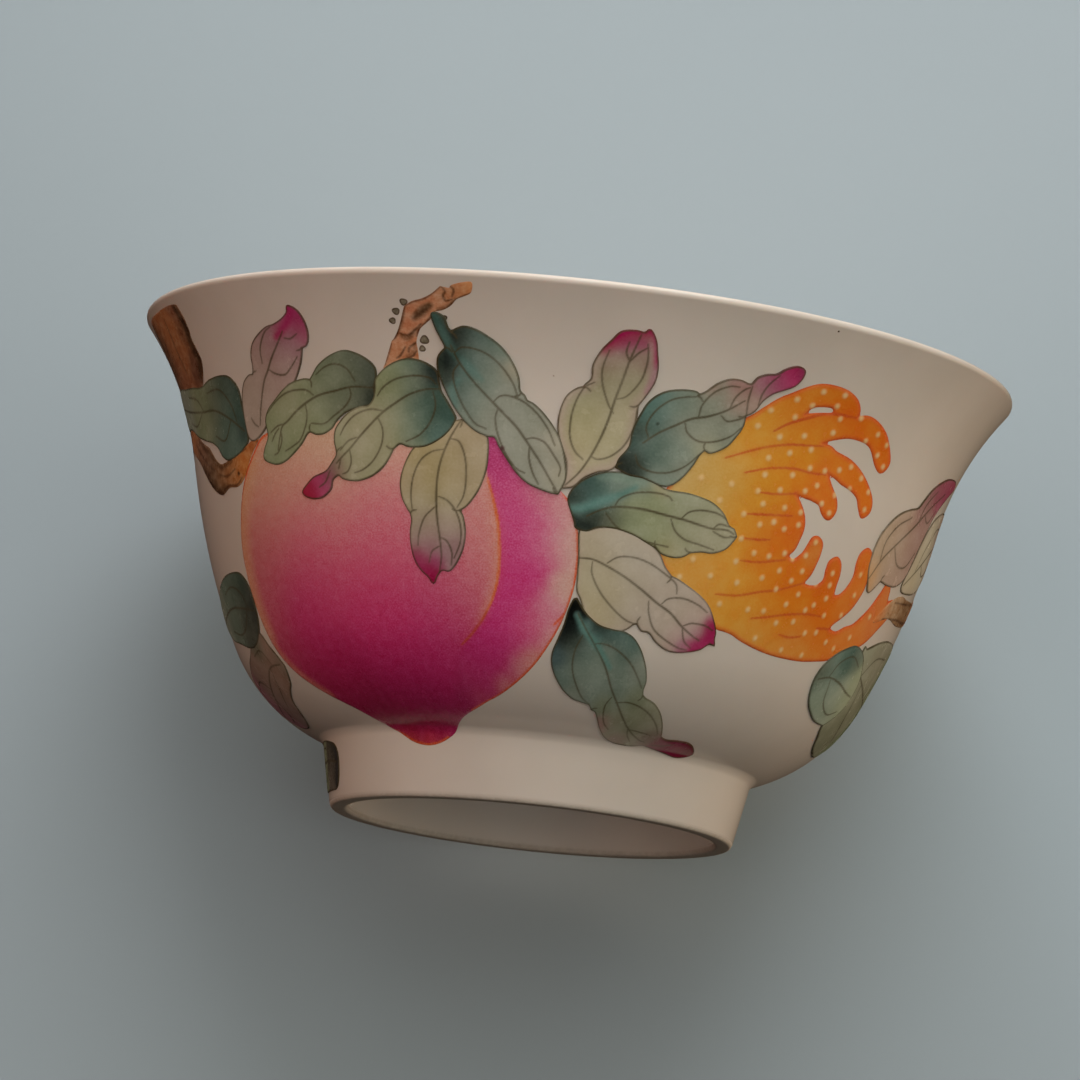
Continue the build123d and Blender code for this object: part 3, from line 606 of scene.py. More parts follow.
LEAVES["leaf_top_teal"] = dict(
    level=5, shade=(0.92, 0.82, 0.82),
    loops=[[
        (7, 34.6, 0), (7.4, 35.6), (8.6, 37), (8.8, 38.8), (9.6, 40.6), (10.6, 42.2), (12.4, 43.4),
        (14.8, 43.95), (17, 44), (17.2, 43.6, 0), (18.4, 44.2), (19.8, 45.3), (21.4, 46),
        (23, 46.1), (24.6, 45.9), (25.4, 46.8), (26.6, 47.3), (28, 47.6), (29.2, 48.4),
        (30.6, 48.9), (31.8, 48.7), (31.9, 47.8), (31.2, 46.8), (29.8, 46.1), (28.2, 45.4),
        (27, 44.4), (26.4, 43.4), (25.8, 42.8), (25, 42.4, 0), (24.9, 41), (24, 39.6), (23, 38.6),
        (21, 37.7), (19.8, 37.9, 0), (19, 37), (18.4, 36), (17.2, 34.6), (15.8, 33.6), (14.4, 33.3),
        (12.6, 33.6), (11, 33.9), (9, 34)]],
    lines=[
        [(10.5, 37.6), (12.5, 38.9), (15, 40.1), (17, 41), (19.5, 41.6), (22, 42.6), (24.3, 44)],
        [(11.2, 38.2), (10.6, 39.5), (11.6, 41.3), (13.5, 42.7), (15.5, 43.3), (17, 43.5)],
        [(9.6, 36.2), (10.4, 35.1), (12.4, 34.6), (15, 34.8), (17.4, 35.8), (19.3, 37.4)],
        [(18, 41.4), (18.2, 42.8), (19.6, 44.4), (21.6, 45.3), (23, 45.4)],
        [(16.2, 40.4), (16.8, 39.4), (18.6, 38.7), (21, 38.9), (23.4, 39.8), (24.8, 41)],
        [(24.8, 45.8), (24.8, 44), (25.1, 42.4)],
        [(22.3, 42.8), (22.8, 44.2), (23.8, 45.2), (24.6, 45.6)],
        [(21.3, 41.9), (22.4, 41.4), (24, 41.8), (25, 42.2)],
        [(26.5, 43.8), (26.6, 45), (27.2, 46.3), (28.4, 47.6)]],
    tints=[
        (7.6, 35, "black", 1.2), (9.2, 35.3, "blackgreen", 1), (9.4, 39, "blackgreen", 0.8),
        (9, 37.4, "deepteal", 0.8), (12, 40, "teal", 1.3), (10.6, 40.8, "bright", 0.9),
        (12, 42.4, "bright", 1), (12, 36.6, "teal", 1.3), (14, 34.1, "bluegreen", 1),
        (15, 42, "bluegreen", 1.3), (15.4, 37, "bluegreen", 1.4), (17.4, 35.4, "sage", 1),
        (17.4, 40, "sage", 1.2), (20, 43.2, "sage", 1.3), (20.4, 40.6, "sage", 1.5),
        (20, 38.2, "green", 1), (23, 40.6, "sage", 1.3), (23, 43.6, "rosebeige", 1),
        (19, 44.7, "rosebeige", 0.6), (23, 45.7, "pinkbrown", 0.8), (26, 44, "rosebeige", 0.9),
        (27, 46, "mauve", 1), (28.4, 46.8, (0.6, 0.15, 0.33), 0.9),
        (30.4, 47.9, (0.62, 0.055, 0.22), 1), (31.9, 48.4, (0.3, 0.05, 0.13), 0.6)],
    dots=[(12.2, 39.9, 0.3, "blackgreen")])
LEAVES["leaf_middle_teal"] = dict(
    level=3, shade=(0.86, 0.82, 0.84),
    loops=[[
        (0.6, 30.2), (0.6, 31), (1.4, 32), (3, 33), (5, 33.7), (7, 34), (9, 34), (11.5, 33.9),
        (13.5, 33.3), (14.8, 32.9), (16.4, 32.8), (18.4, 32.8), (20.6, 32.6), (22.8, 32.2),
        (24.8, 31.3), (26.2, 30.1), (27.2, 29.8), (27.9, 29.1, 0), (27.4, 28.4), (26.4, 27.5),
        (24.6, 26.9), (22.6, 26.8), (20.8, 26.5, 0), (19.6, 25.9), (18, 25.7), (16.2, 25.9),
        (15.2, 26.4, 0), (13.4, 26.9), (11.4, 27.5), (9, 27.9), (6.8, 28), (5.2, 27.8), (3.8, 27.3),
        (2.2, 27.5), (1.8, 28.2), (1.2, 29.2)]],
    lines=[
        [(3.6, 28.9), (5.5, 29.7), (8, 30.3), (12, 30.4), (16, 30.1), (19, 29.9), (23, 29.5),
         (26, 29.6), (27.4, 29.3)],
        [(7.6, 30.3), (8.4, 31.3), (10.6, 32.1), (13.6, 32.4), (15.6, 32.2), (16.3, 31.8)],
        [(18.2, 30), (19.4, 30.9), (21.6, 31.3), (24, 31.2), (25.6, 30.7), (26.6, 30.1)],
        [(6.4, 29.5), (8.2, 28.2), (10.6, 27.3), (13.6, 26.9), (17, 26.7)],
        [(16.6, 29.8), (17.6, 28.6), (19.4, 27.8), (22, 27.5), (24.6, 27.2)],
        [(23.6, 29.4), (24.6, 30.1), (26.4, 30)], [(23.8, 29.2), (25.6, 28.8), (27, 28.9)]],
    tints=[
        (1.2, 31, "blackgreen", 1), (3, 32, "deepteal", 1), (2.4, 28.2, "blackgreen", 0.9),
        (4.6, 28.3, "blackgreen", 0.9), (1.6, 29.5, "teal", 0.6), (2.6, 29.6, "bright", 0.5),
        (4.4, 30.4, "bright", 0.6), (6.4, 31, "bright", 0.7), (8, 32, "bluegreen", 0.9),
        (5, 32.6, "teal", 0.9), (8, 33.4, "bluegreen", 0.9), (11, 33, "bluegreen", 1.1),
        (7.6, 29, (0.13, 0.16, 0.12), 0.9), (10, 29.4, "olive", 1.1), (13, 28.6, "moss"),
        (11, 31.2, "moss", 0.8), (14.4, 33, "sand", 0.7), (14, 31.2, "moss", 1),
        (18, 31.6, "green"), (21, 30.4, "green"), (24, 28, "palest"), (20, 28.6, "pale"),
        (17, 26.4, "sand", 1), (25, 30.4, "pale"), (15.5, 28, "moss"), (12, 27.4, "green", 0.8)],
    washes=[
        ("bright", 0.85, 0.8, [(1, 29.5), (3, 29.8), (5.6, 30.7), (8.4, 31.7), (10.4, 32.7)]),
        ("bluegreen", 0.9, 0.5, [(5, 33.2), (8, 33.4), (11.4, 33.2)]),
        ("black", 0.9, 0.6, [(1.6, 28.4), (3, 27.9), (4.4, 27.8)])])
LEAVES["leaf_middle_cream"] = dict(
    level=2, shade=(0.82, 0.8, 0.8), margin=("rosebeige", 0.25, 0.8),
    loops=[[
        (3.2, 24.3), (2.8, 27.2), (4, 27.3), (6, 27.8), (8.5, 27.9), (11.5, 27.4), (14, 26.7),
        (15.8, 25.8), (17.2, 24.4), (18.6, 23.5, 0), (20, 23.2), (22, 22.6), (24.4, 21.8),
        (26.4, 20.8), (28, 19.4), (29, 18.2), (29.2, 17.4), (29.6, 16.7, 0), (28.4, 16.7),
        (27.2, 16), (25.2, 15.5), (22.8, 15.2), (20.8, 15.3), (18.6, 16), (17, 16.9), (15.6, 17),
        (14.6, 17.7, 0), (14, 17.6), (12.8, 16.9), (11.4, 16.6), (9.2, 16.7), (7, 17.2),
        (5.4, 18.2), (4.4, 19.6), (3.6, 20.6), (3.4, 22)]],
    lines=[
        [(3.2, 24.2), (5.4, 24.2), (8, 23.6), (11, 22.7), (14, 21.6), (17, 20.4), (20, 19.4),
         (22.4, 18.2), (24.6, 17.4), (26.4, 16.9)],
        [(7.8, 24), (9.4, 24.8), (11.8, 25), (14.6, 24.6), (17.4, 23.7), (19.6, 22.8),
         (20.2, 21.7)],
        [(5.4, 23.9), (5.6, 22.6), (7.2, 20.8), (9.6, 19.2), (12.2, 18), (14.2, 17.6)],
        [(15.7, 20.4), (16.2, 19), (17.6, 17.4), (20, 16.4), (22.8, 15.7), (24.6, 15.6)],
        [(18, 20.3), (19, 21), (21.4, 21.3), (24.2, 20.9), (26.4, 20.2)],
        [(22.6, 18.2), (24.2, 18.7), (26.6, 18.7), (28.4, 18.3)],
        [(22.6, 18.1), (23.6, 16.6), (25.2, 15.9)]],
    tints=[
        (5, 26, "cream"), (10, 26.4, (0.84, 0.8, 0.68)), (8, 20, (0.76, 0.68, 0.42), 2.4),
        (5, 22, (0.78, 0.74, 0.54)), (12, 20.5, (0.82, 0.78, 0.66)), (14, 24, (0.8, 0.74, 0.63)),
        (18, 19, (0.8, 0.7, 0.6)), (21, 20.4, (0.84, 0.76, 0.66)),
        (25, 20, (0.78, 0.62, 0.54), 1.2), (16, 17.8, (0.74, 0.66, 0.56)),
        (22, 16.8, (0.8, 0.58, 0.57), 1), (24, 18, (0.8, 0.62, 0.6), 0.8),
        (27.4, 18.9, "magenta", 0.7), (26, 16.2, "crimson", 0.9), (28.4, 17.3, "crimson", 0.9),
        (24, 15.8, (0.62, 0.2, 0.38), 0.8), (25.4, 17.8, (0.7, 0.36, 0.44), 0.6)],
    washes=[
        ("crimson", 2.3, 0.95, [(28.2, 18.8), (29, 17.4), (28.2, 16.4), (26.6, 15.7),
         (24.6, 15.4)]),
        ("mauve", 1.2, 0.7, [(24.2, 15.6), (23, 16)])])
LEAVES["leaf_low_teal"] = dict(
    level=3, shade=(0.94, 0.84, 0.86),
    loops=[[
        (3.7, 19.6, 0), (4.8, 18.6), (6.2, 17.7), (8.2, 16.9), (10.6, 16.6), (12.6, 16.5),
        (14.6, 15.9), (16.4, 14.6), (18, 12.8), (18.9, 11.2), (19, 10), (19.4, 9.2, 0), (20.4, 8.8),
        (22.4, 8.3), (24.6, 7.2), (26.6, 5.6), (28.2, 4), (29, 3.2), (31, 2.8), (34, 3), (36.8, 3),
        (39.2, 2.5), (41.2, 1.6), (42, 0.8), (40.5, 0.2), (37.6, -0.1), (34.2, 0.2), (31, 0.5),
        (28.4, 0.8), (26.6, 1), (24.4, 0.5), (21.6, 0.4), (18.6, 0.6), (15.8, 1.6), (13.6, 3.2),
        (12.2, 4.8), (11.2, 5.9), (10.2, 6.2, 0), (9.4, 6.9), (7.6, 7.2), (5.6, 7.6), (3.6, 8.6),
        (1.8, 10.2), (0.8, 11.8), (0.7, 13.2), (1.4, 14.8), (2.2, 16.6), (2.6, 18.2), (3.2, 19.4)]],
    lines=[
        [(4.2, 18), (6, 16.3), (8.2, 14.4), (10.6, 12.2), (12.8, 9.6), (15, 7.6), (17.4, 5.6),
         (19.6, 4.1), (22, 2.9), (24.6, 2), (26.2, 1.8)],
        [(7.8, 14.8), (9.6, 14.9), (12, 14.4), (14.8, 13.2), (17, 11.6), (18.6, 10.2)],
        [(5.6, 15.6), (4.6, 13.8), (4.6, 11.6), (5.8, 9.6), (7.6, 7.8), (9.4, 7)],
        [(13.4, 8.4), (12.7, 7.2), (13, 5.6), (14, 4.2), (15.6, 3.2)],
        [(14.6, 7.7), (17, 8), (20, 7.6), (23, 6.6), (25.6, 5.2), (27.4, 3.8)],
        [(19.8, 3.9), (20.8, 2.6), (22.6, 1.4)], [(20, 3.8), (23, 3.6), (26, 3.3)],
        [(28.4, 1.4), (31, 1.6), (34, 2.4)]],
    tints=[
        (3.6, 18.4, (0.006, 0.009, 0.008), 1.2), (3, 15.6, "black", 1.1),
        (5.8, 16.5, "bright", 0.5), (8, 15.2, "bright", 0.6), (10.4, 13.6, "bluegreen", 0.7),
        (11.6, 12, "bluegreen", 0.7), (8.4, 16.8, (0.045, 0.08, 0.07), 0.8),
        (4.6, 14.2, "blackgreen", 0.9), (1.6, 12.4, (0.09, 0.17, 0.18), 0.9), (3, 9.8, "teal", 1),
        (6, 13.6, "teal", 1), (9, 11, "bluegreen"), (7, 9.6, "bluegreen"), (14, 14.4, "teal", 1.4),
        (11, 16, "deepteal", 0.9), (15, 10.4, "bluegreen"), (17.4, 12.4, "sage", 1.2),
        (6, 8, "sage", 1), (12, 7.4, "olive", 1), (18, 9, "olive", 1), (20, 6, "olive"),
        (24, 5.6, (0.52, 0.56, 0.43)), (16, 4.4, (0.46, 0.5, 0.38), 1.2),
        (13.4, 3.8, "pinkbrown", 0.9), (19, 1.4, (0.42, 0.36, 0.3), 1),
        (26, 3, (0.3, 0.24, 0.2), 1), (30.5, 1.8, (0.3, 0.12, 0.15), 1),
        (34, 1.8, (0.36, 0.03, 0.12)), (39, 1.4, (0.24, 0.01, 0.04))],
    washes=[
        ("bright", 0.8, 0.8, [(4.1, 17.8), (5.6, 16.3), (7.4, 15.2), (9.6, 13.7), (11.4, 12.2)])])
LEAVES["leaf_left_dark"] = dict(
    level=2,
    loops=[[
        (-57.6, 38.4), (-58.2, 40.5), (-58.6, 42.4), (-60.4, 43.8), (-63, 44.2), (-67, 44.1),
        (-71, 43.6), (-75, 44), (-80, 44.4), (-86, 45), (-90.5, 43.6), (-88, 40.8), (-82, 40),
        (-77, 38.6), (-73, 37.8), (-69.6, 37.2), (-67.4, 36.4), (-66, 35.4), (-64, 34.8),
        (-61, 35.1), (-58.6, 35.8), (-57.3, 36.6)]],
    lines=[
        [(-58, 37.6), (-62, 39.2), (-67, 40.6), (-73, 41), (-80, 41.8), (-87, 43)],
        [(-60, 38.8), (-61.4, 41), (-64.4, 42.8), (-69, 42.8)],
        [(-62, 39), (-64.4, 37), (-68, 37.8)], [(-72, 41), (-74.4, 42.6), (-79, 43.4)],
        [(-73, 40.8), (-77, 39.8), (-81, 40.6)]],
    tints=[
        (-58.4, 38, "black", 1.1), (-60, 42, "blackgreen"), (-62, 40, (0.13, 0.25, 0.22)),
        (-66, 41, "darkolive"), (-62, 36.4, (0.17, 0.26, 0.22)), (-72, 41, "olive"),
        (-84, 42.6, "sage")])
LEAVES["leaf_left_low_dark"] = dict(
    level=2,
    loops=[[
        (-64.4, 18.4), (-65, 20.6), (-67, 21.9), (-70, 22.3), (-75, 22.2), (-80, 21.6), (-86, 20.4),
        (-90.4, 17.8), (-84, 15.6), (-78, 14.6), (-73.4, 13.8), (-69.6, 13.8), (-66.4, 14.8),
        (-64.8, 16.4)]],
    lines=[
        [(-65, 17.6), (-70, 18.2), (-76, 18.6), (-83, 18.2), (-89, 17.8)],
        [(-67, 18), (-69, 20), (-73, 20.9), (-78, 20.4)],
        [(-68, 18), (-71, 16), (-75, 15.4), (-80, 16.2)]],
    tints=[
        (-65, 18, (0.05, 0.05, 0.045)), (-70, 20, (0.14, 0.21, 0.17)),
        (-69, 16, (0.13, 0.15, 0.12)), (-77, 18, (0.24, 0.34, 0.28)), (-86, 18, "sage")])
LEAVES["leaf_left_low_brown"] = dict(
    level=1,
    loops=[[
        (-66, 15), (-64, 13.4), (-62.2, 11.6), (-61.8, 10.4), (-63.6, 8.6), (-66.4, 7.6),
        (-70, 6.2), (-73, 4.4), (-77, 3), (-82, 2.2), (-88, 2.9), (-91, 5.6), (-88, 9.4),
        (-80, 11.8), (-75, 12.9), (-70, 14.6)]],
    lines=[
        [(-63, 11), (-68, 10.8), (-74, 9), (-81, 6.6), (-89, 5)],
        [(-66, 10.8), (-68.4, 13), (-73, 12.6)], [(-68, 10.6), (-71, 8), (-76, 5.6)],
        [(-76, 8.4), (-80, 9.8), (-86, 9)], [(-78, 7.8), (-82, 4.6), (-86, 3.8)]],
    tints=[
        (-62.6, 10.6, (0.34, 0.27, 0.21), 1), (-68, 10, (0.42, 0.3, 0.24)),
        (-73, 9.4, (0.42, 0.32, 0.27)), (-78, 6, (0.38, 0.28, 0.26)), (-70, 13.6, "darkolive", 1.2),
        (-86, 6, "mauve")])
LEAVES["leaf_foot"] = dict(
    level=1,
    loops=[[
        (-69.6, -2.4), (-72, -1.4), (-77, -0.9), (-84, -0.5), (-91, -0.4), (-100, 0.5),
        (-104, -1.4), (-98, -4.6), (-90, -6), (-84, -6.2), (-78, -6.3), (-73, -6.3), (-70.6, -5.6),
        (-69.4, -4)]],
    lines=[
        [(-70, -3.4), (-78, -3), (-88, -2.8), (-101, -1.2)], [(-76, -3), (-80, -1.6), (-87, -1.2)],
        [(-78, -3.2), (-83, -4.8), (-90, -5)]],
    tints=[
        (-70.6, -3.4, (0.05, 0.05, 0.045)), (-74, -2, (0.09, 0.09, 0.07)),
        (-76, -5.2, (0.2, 0.18, 0.15)), (-86, -3, "olive"), (-100, -1.6, "magenta")],
    washes=[("soot", 1.7, 0.95, [(-71, -1.6), (-70.4, -3.2), (-70.8, -4.6), (-72, -6)])])
LEAVES["leaf_right_pale"] = dict(
    level=1, margin=("rosebeige", 0.4, 1),
    loops=[[
        (72, 29), (73.4, 32.4), (74.8, 35.2), (77, 37.2), (80, 38.6), (84.4, 39.6), (88.6, 39.7),
        (93, 37.4), (91.4, 33.6), (84, 30.2), (77, 28.9)]],
    lines=[
        [(72.4, 29.4), (77, 31.8), (83, 34.6), (91.6, 37.2)],
        [(76, 31.6), (78, 34.6), (82.6, 37.4), (87, 38)], [(79, 32.6), (83, 31.8), (88.6, 33.8)]],
    tints=[
        (74, 31, "cream"), (80, 34, (0.8, 0.76, 0.62)), (88, 36, "rosebeige"),
        (92.4, 37, "magenta", 1.2)])
LEAVES["leaf_right_pink"] = dict(
    level=2,
    loops=[[
        (57.4, 31.6), (58, 33.4), (59.6, 35), (62, 36.4), (65, 37.3), (67.6, 37.9), (69, 39),
        (71, 40.6), (73.6, 41.8), (77, 42.8), (82, 43.3), (84.4, 42.8), (82, 41.6), (79, 40),
        (76.6, 38.4), (75, 36.6), (73.6, 34.6), (72.6, 32.4), (71.6, 30.2), (69.2, 28.9),
        (66, 28.5), (62.6, 28.6, 0), (60.2, 26.9), (58.8, 28), (57.6, 29.6)]],
    lines=[
        [(58.6, 28.4), (60.6, 31), (64, 33.4), (68, 35.8), (72.6, 38.6), (78, 41.2)],
        [(60, 30.6), (59.8, 32.8), (62, 35), (66, 36.6)],
        [(63, 32.8), (66, 31), (69.6, 31.2), (72, 33.2)], [(69, 36.4), (70.4, 38.8), (73.4, 40.8)],
        [(71, 37.6), (73.4, 37), (76, 38.8)]],
    tints=[
        (58.6, 29, (0.82, 0.5, 0.26), 1), (60, 32, (0.66, 0.52, 0.38)), (64, 34, (0.6, 0.46, 0.37)),
        (66, 30.4, (0.6, 0.45, 0.37)), (70, 34, (0.55, 0.38, 0.34)),
        (70, 38.4, (0.46, 0.26, 0.26), 1.4), (74, 40.8, (0.42, 0.15, 0.19), 1.2),
        (73.6, 36.6, "pinkbrown", 1.2), (78, 41.6, (0.52, 0.15, 0.24)),
        (83, 42.8, (0.46, 0.1, 0.18), 1.2)])
LEAVES["leaf_right_dark"] = dict(
    level=2,
    loops=[[
        (67.6, 20.6), (69, 21), (74, 22.4), (80, 23.2), (88, 23.1), (96.6, 20.4), (99, 15.6),
        (94.4, 10.8), (88, 8), (82, 7.8), (77, 8.4), (73, 9.6), (70, 11), (68.4, 14)]],
    lines=[
        [(69, 18.6), (76, 17.2), (85, 16), (97.6, 15.4)], [(72, 18), (76, 20.6), (83, 21.4)],
        [(75, 17.4), (78, 13), (84, 10.2)], [(84, 16.2), (88, 19.6), (93, 19.6)],
        [(86, 16), (90, 12), (94, 12)]],
    tints=[
        (70, 17, (0.44, 0.48, 0.38)), (72, 17, (0.42, 0.45, 0.33)), (76, 20, (0.46, 0.46, 0.36)),
        (78, 12, (0.34, 0.36, 0.26)), (80, 15, (0.38, 0.4, 0.29)), (92, 15, "olive")])
LEAVES["leaf_right_low"] = dict(
    level=3,
    loops=[[
        (55.9, 15.4), (56.4, 17.2), (58.4, 18.9), (61, 20), (63.6, 20.7), (66.2, 20.6), (68.6, 20),
        (70.5, 19), (73, 17), (73, 14), (70, 11.4), (68, 11.1), (64.6, 11.2), (61.6, 11.8),
        (59, 12.6), (57, 13.8)]],
    lines=[
        [(56.6, 15.8), (60, 16.4), (64.6, 16.2), (69, 15.6), (72.6, 15.4)],
        [(59.6, 16.4), (61, 18.4), (64.6, 19.6), (68.6, 18.8)],
        [(60.6, 16.2), (62.6, 13.6), (67, 12.4), (70.6, 13.2)]],
    tints=[
        (57, 16.8, (0.2, 0.22, 0.17), 1.2), (60, 17, (0.19, 0.29, 0.25)),
        (64, 18.6, "deepteal", 1.4), (67, 19.6, (0.24, 0.3, 0.25), 1.2), (60, 13.6, "sage", 1.6),
        (66, 14, (0.44, 0.53, 0.44)), (71, 15.6, "green")])


# ---- the far side, where leaves are folded into two lobes ------------------
CAD_DEGREE = 0.73           # DEGREE as the CAD rounds it when it sets out these leaves


def in_leaf(base, tip, width, points):
    """Turn (onward, aside) places within a leaf into points of the wall."""
    along = ((tip[0] - base[0]) * CAD_DEGREE, tip[1] - base[1])
    size = math.hypot(*along)
    across = (-along[1] / size * width, along[0] / size * width)
    flat = [(along[0] * a + across[0] * b, along[1] * a + across[1] * b) for a, b in points]
    return [(base[0] + x / CAD_DEGREE, base[1] + y) for x, y in flat]


LOBES = [
    (0, 0), (0.1, 0.3), (0.3, 0.52), (0.48, 0.4), (0.54, 0.27), (0.66, 0.38), (0.82, 0.32),
    (0.94, 0.14), (1, 0), (0.92, -0.16), (0.78, -0.34), (0.62, -0.4), (0.52, -0.3),
    (0.42, -0.42), (0.24, -0.5), (0.08, -0.26)]
LOBE_LINES = [
    [(0.02, 0), (0.2, 0.04), (0.45, 0.02), (0.7, -0.02), (0.98, 0)],
    [(0.12, 0.03), (0.17, 0.24), (0.32, 0.38), (0.47, 0.28)],
    [(0.14, 0.02), (0.18, -0.24), (0.3, -0.36), (0.46, -0.26)],
    [(0.5, 0.02), (0.57, 0.2), (0.7, 0.26), (0.85, 0.16)],
    [(0.52, 0), (0.6, -0.2), (0.74, -0.24), (0.88, -0.1)]]
SPINE_TOUCHES = [(0.02 + 0.16 * k, 0) for k in range(7)]
SIDE_TOUCHES = [(a, b) for a in (0.25, 0.7) for b in (-0.36, 0.36)]
GRADES = {      # colours from the foot of a leaf to its tip
    "teal": ["black", "deepteal", "teal", "bluegreen", "sage", "green", "magenta"],
    "green": ["deepteal", "olive", "moss", "green", "pale", "palest", "rosebeige"],
    "pink": ["olive", "sand", "pale", "cream", "rosebeige", "mauve", "crimson"],
}
FAR_LEAVES = {
    "leaf_far_a": ((117, 38), (134, 49), 10, "green"),
    "leaf_far_b": ((119, 36), (143, 35), 10, "teal"),
    "leaf_far_c": ((112, 32), (128, 18), 10, "pink"),
    "leaf_far_d": ((-122, 32), (-138, 46), 10, "teal"),
    "leaf_far_e": ((-133, 27), (-156, 36), 10, "green"),
    "leaf_far_f": ((-138, 22), (-154, 8), 10, "teal"),
    "leaf_far_g": ((-106, 36), (-115, 49), 9, "pink"),
    "leaf_far_h": ((-114, 31), (-123, 14), 9, "teal"),
    "leaf_far_i": ((153, 12), (130, 7), 8, "green"),
}
for order, (name, (base, tip, width, grade)) in enumerate(FAR_LEAVES.items()):
    colours = GRADES[grade]
    places = in_leaf(base, tip, width, SPINE_TOUCHES + SIDE_TOUCHES)
    LEAVES[name] = dict(
        step=0.15, level=2 + order % 3, loops=[in_leaf(base, tip, width, LOBES)],
        lines=[in_leaf(base, tip, width, line) for line in LOBE_LINES],
        tints=[(*place, colour) for place, colour in zip(places, colours + colours[2:6])],
    )

# ---- fruit ----------------------------------------------------------------
SUTURE = [
    (-12.3, 36.9), (-12.4, 34.5), (-12, 32), (-10.9, 29.6), (-10, 27), (-9.6, 24), (-9.7, 21),
    (-10.6, 18.4), (-12.2, 16.2), (-14.2, 14.4), (-16, 13.2)]
PEACH_LEFT = [
    (-58, 32, (0.94, 0.72, 0.46)), (-50, 32, (0.92, 0.7, 0.48)), (-40, 34, (0.9, 0.76, 0.52)),
    (-28, 35, (0.95, 0.72, 0.55)), (-14, 35, (0.92, 0.64, 0.5)), (-30, 29, (0.93, 0.44, 0.46)),
    (-42, 29, (0.93, 0.45, 0.44)), (-53, 29, (0.88, 0.42, 0.39)), (-62, 25, (0.82, 0.4, 0.32)),
    (-55, 25, (0.84, 0.28, 0.34)), (-45, 25, (0.91, 0.26, 0.38)), (-30, 25, (0.93, 0.27, 0.4)),
    (-21, 27, (0.92, 0.38, 0.45)), (-15, 28, (0.9, 0.49, 0.46)), (-12, 24, (0.94, 0.52, 0.46)),
    (-11.5, 20, (0.92, 0.42, 0.42)), (-63.6, 20, (0.84, 0.34, 0.33)), (-30, 20, (0.88, 0.14, 0.33)),
    (-45, 20, (0.84, 0.13, 0.32)), (-58, 20, (0.78, 0.16, 0.3)), (-20, 21, (0.88, 0.2, 0.38)),
    (-15, 20, (0.8, 0.16, 0.33)), (-30, 15, (0.8, 0.075, 0.29)), (-50, 15, (0.74, 0.07, 0.27)),
    (-60, 14, (0.68, 0.15, 0.24)), (-20, 15, (0.74, 0.08, 0.3)), (-14, 15, (0.66, 0.08, 0.25)),
    (-30, 10, (0.64, 0.036, 0.21)), (-45, 10, (0.62, 0.036, 0.19)), (-55, 10, (0.62, 0.06, 0.19)),
    (-20, 10, (0.66, 0.04, 0.23)), (-30, 5, (0.5, 0.03, 0.17)), (-40, 4, (0.44, 0.034, 0.13)),
    (-25, 4, (0.48, 0.034, 0.165)), (-50, 6, (0.46, 0.03, 0.13)), (-30, 0, (0.46, 0.03, 0.1)),
    (-36, -1, (0.4, 0.015, 0.05), 1.2), (-30, -1.7, (0.62, 0.04, 0.09), 0.9)]
PEACH_RIGHT = [
    (-11, 35, (0.74, 0.12, 0.36)), (-8, 30, (0.88, 0.18, 0.44)), (-6, 26, (0.88, 0.15, 0.42)),
    (-3, 26, (0.93, 0.32, 0.52), 1.6), (0, 26, (0.95, 0.66, 0.62), 1.4),
    (2.4, 26, (0.92, 0.76, 0.62), 1.4), (-3.4, 31, (0.9, 0.42, 0.5), 1.5),
    (-0.6, 29.6, (0.93, 0.62, 0.58), 1.3), (-7, 20, (0.86, 0.11, 0.38)),
    (1.8, 20.4, (0.93, 0.72, 0.6), 1.3), (-0.8, 18, (0.95, 0.5, 0.58), 1.3),
    (-7, 15, (0.8, 0.1, 0.36)), (-3.6, 16, (0.9, 0.26, 0.42), 1.6),
    (0.2, 14.8, (0.92, 0.6, 0.56), 1.2), (-10, 12, (0.68, 0.05, 0.27)),
    (-4.6, 11.2, (0.9, 0.5, 0.44), 1.2), (-2.6, 12.2, (0.92, 0.56, 0.44), 1),
    (-12, 9, (0.66, 0.075, 0.26)), (-8, 8.4, (0.86, 0.42, 0.38), 1), (-18, 4.4, (0.52, 0.04, 0.18)),
    (-13, 6, (0.72, 0.14, 0.28), 1)]
suture_line = line_of(SUTURE)
CREASE_END = SUTURE[-1][1]  # how far down the crease between the peach's cheeks runs
BAND = (0.95, 0.55, 0.40)   # the paler band along the crease
LEFT_TOUCH, RIGHT_TOUCH = 3.4, 2.4  # reach of the touches of paint on each cheek, mm


def peach_colour(x, y):
    """Two cheeks shaded apart, meeting softly below the end of the crease."""
    order = np.argsort(suture_line[:, 1])
    crease = np.interp(y, suture_line[order, 1], suture_line[order, 0])
    below = suture_line[-1, 0] - (CREASE_END - y) * 0.35
    crease = np.where(y < CREASE_END, below, crease)
    softness = 0.12 + 3.2 * ease((CREASE_END + 2 - y) / 5)
    right = ease((x - crease) / softness + 0.5)[:, None]
    left_tint = blend_tints(x, y, PEACH_LEFT, LEFT_TOUCH)
    band = np.exp(-((crease - x) / 1.1) ** 2) * ease((y - 14.5) / 4) * ease((33 - y) / 6)
    left_tint += (np.array(BAND) - left_tint) * (0.55 * band)[:, None]
    return left_tint * (1 - right) + blend_tints(x, y, PEACH_RIGHT, RIGHT_TOUCH) * right


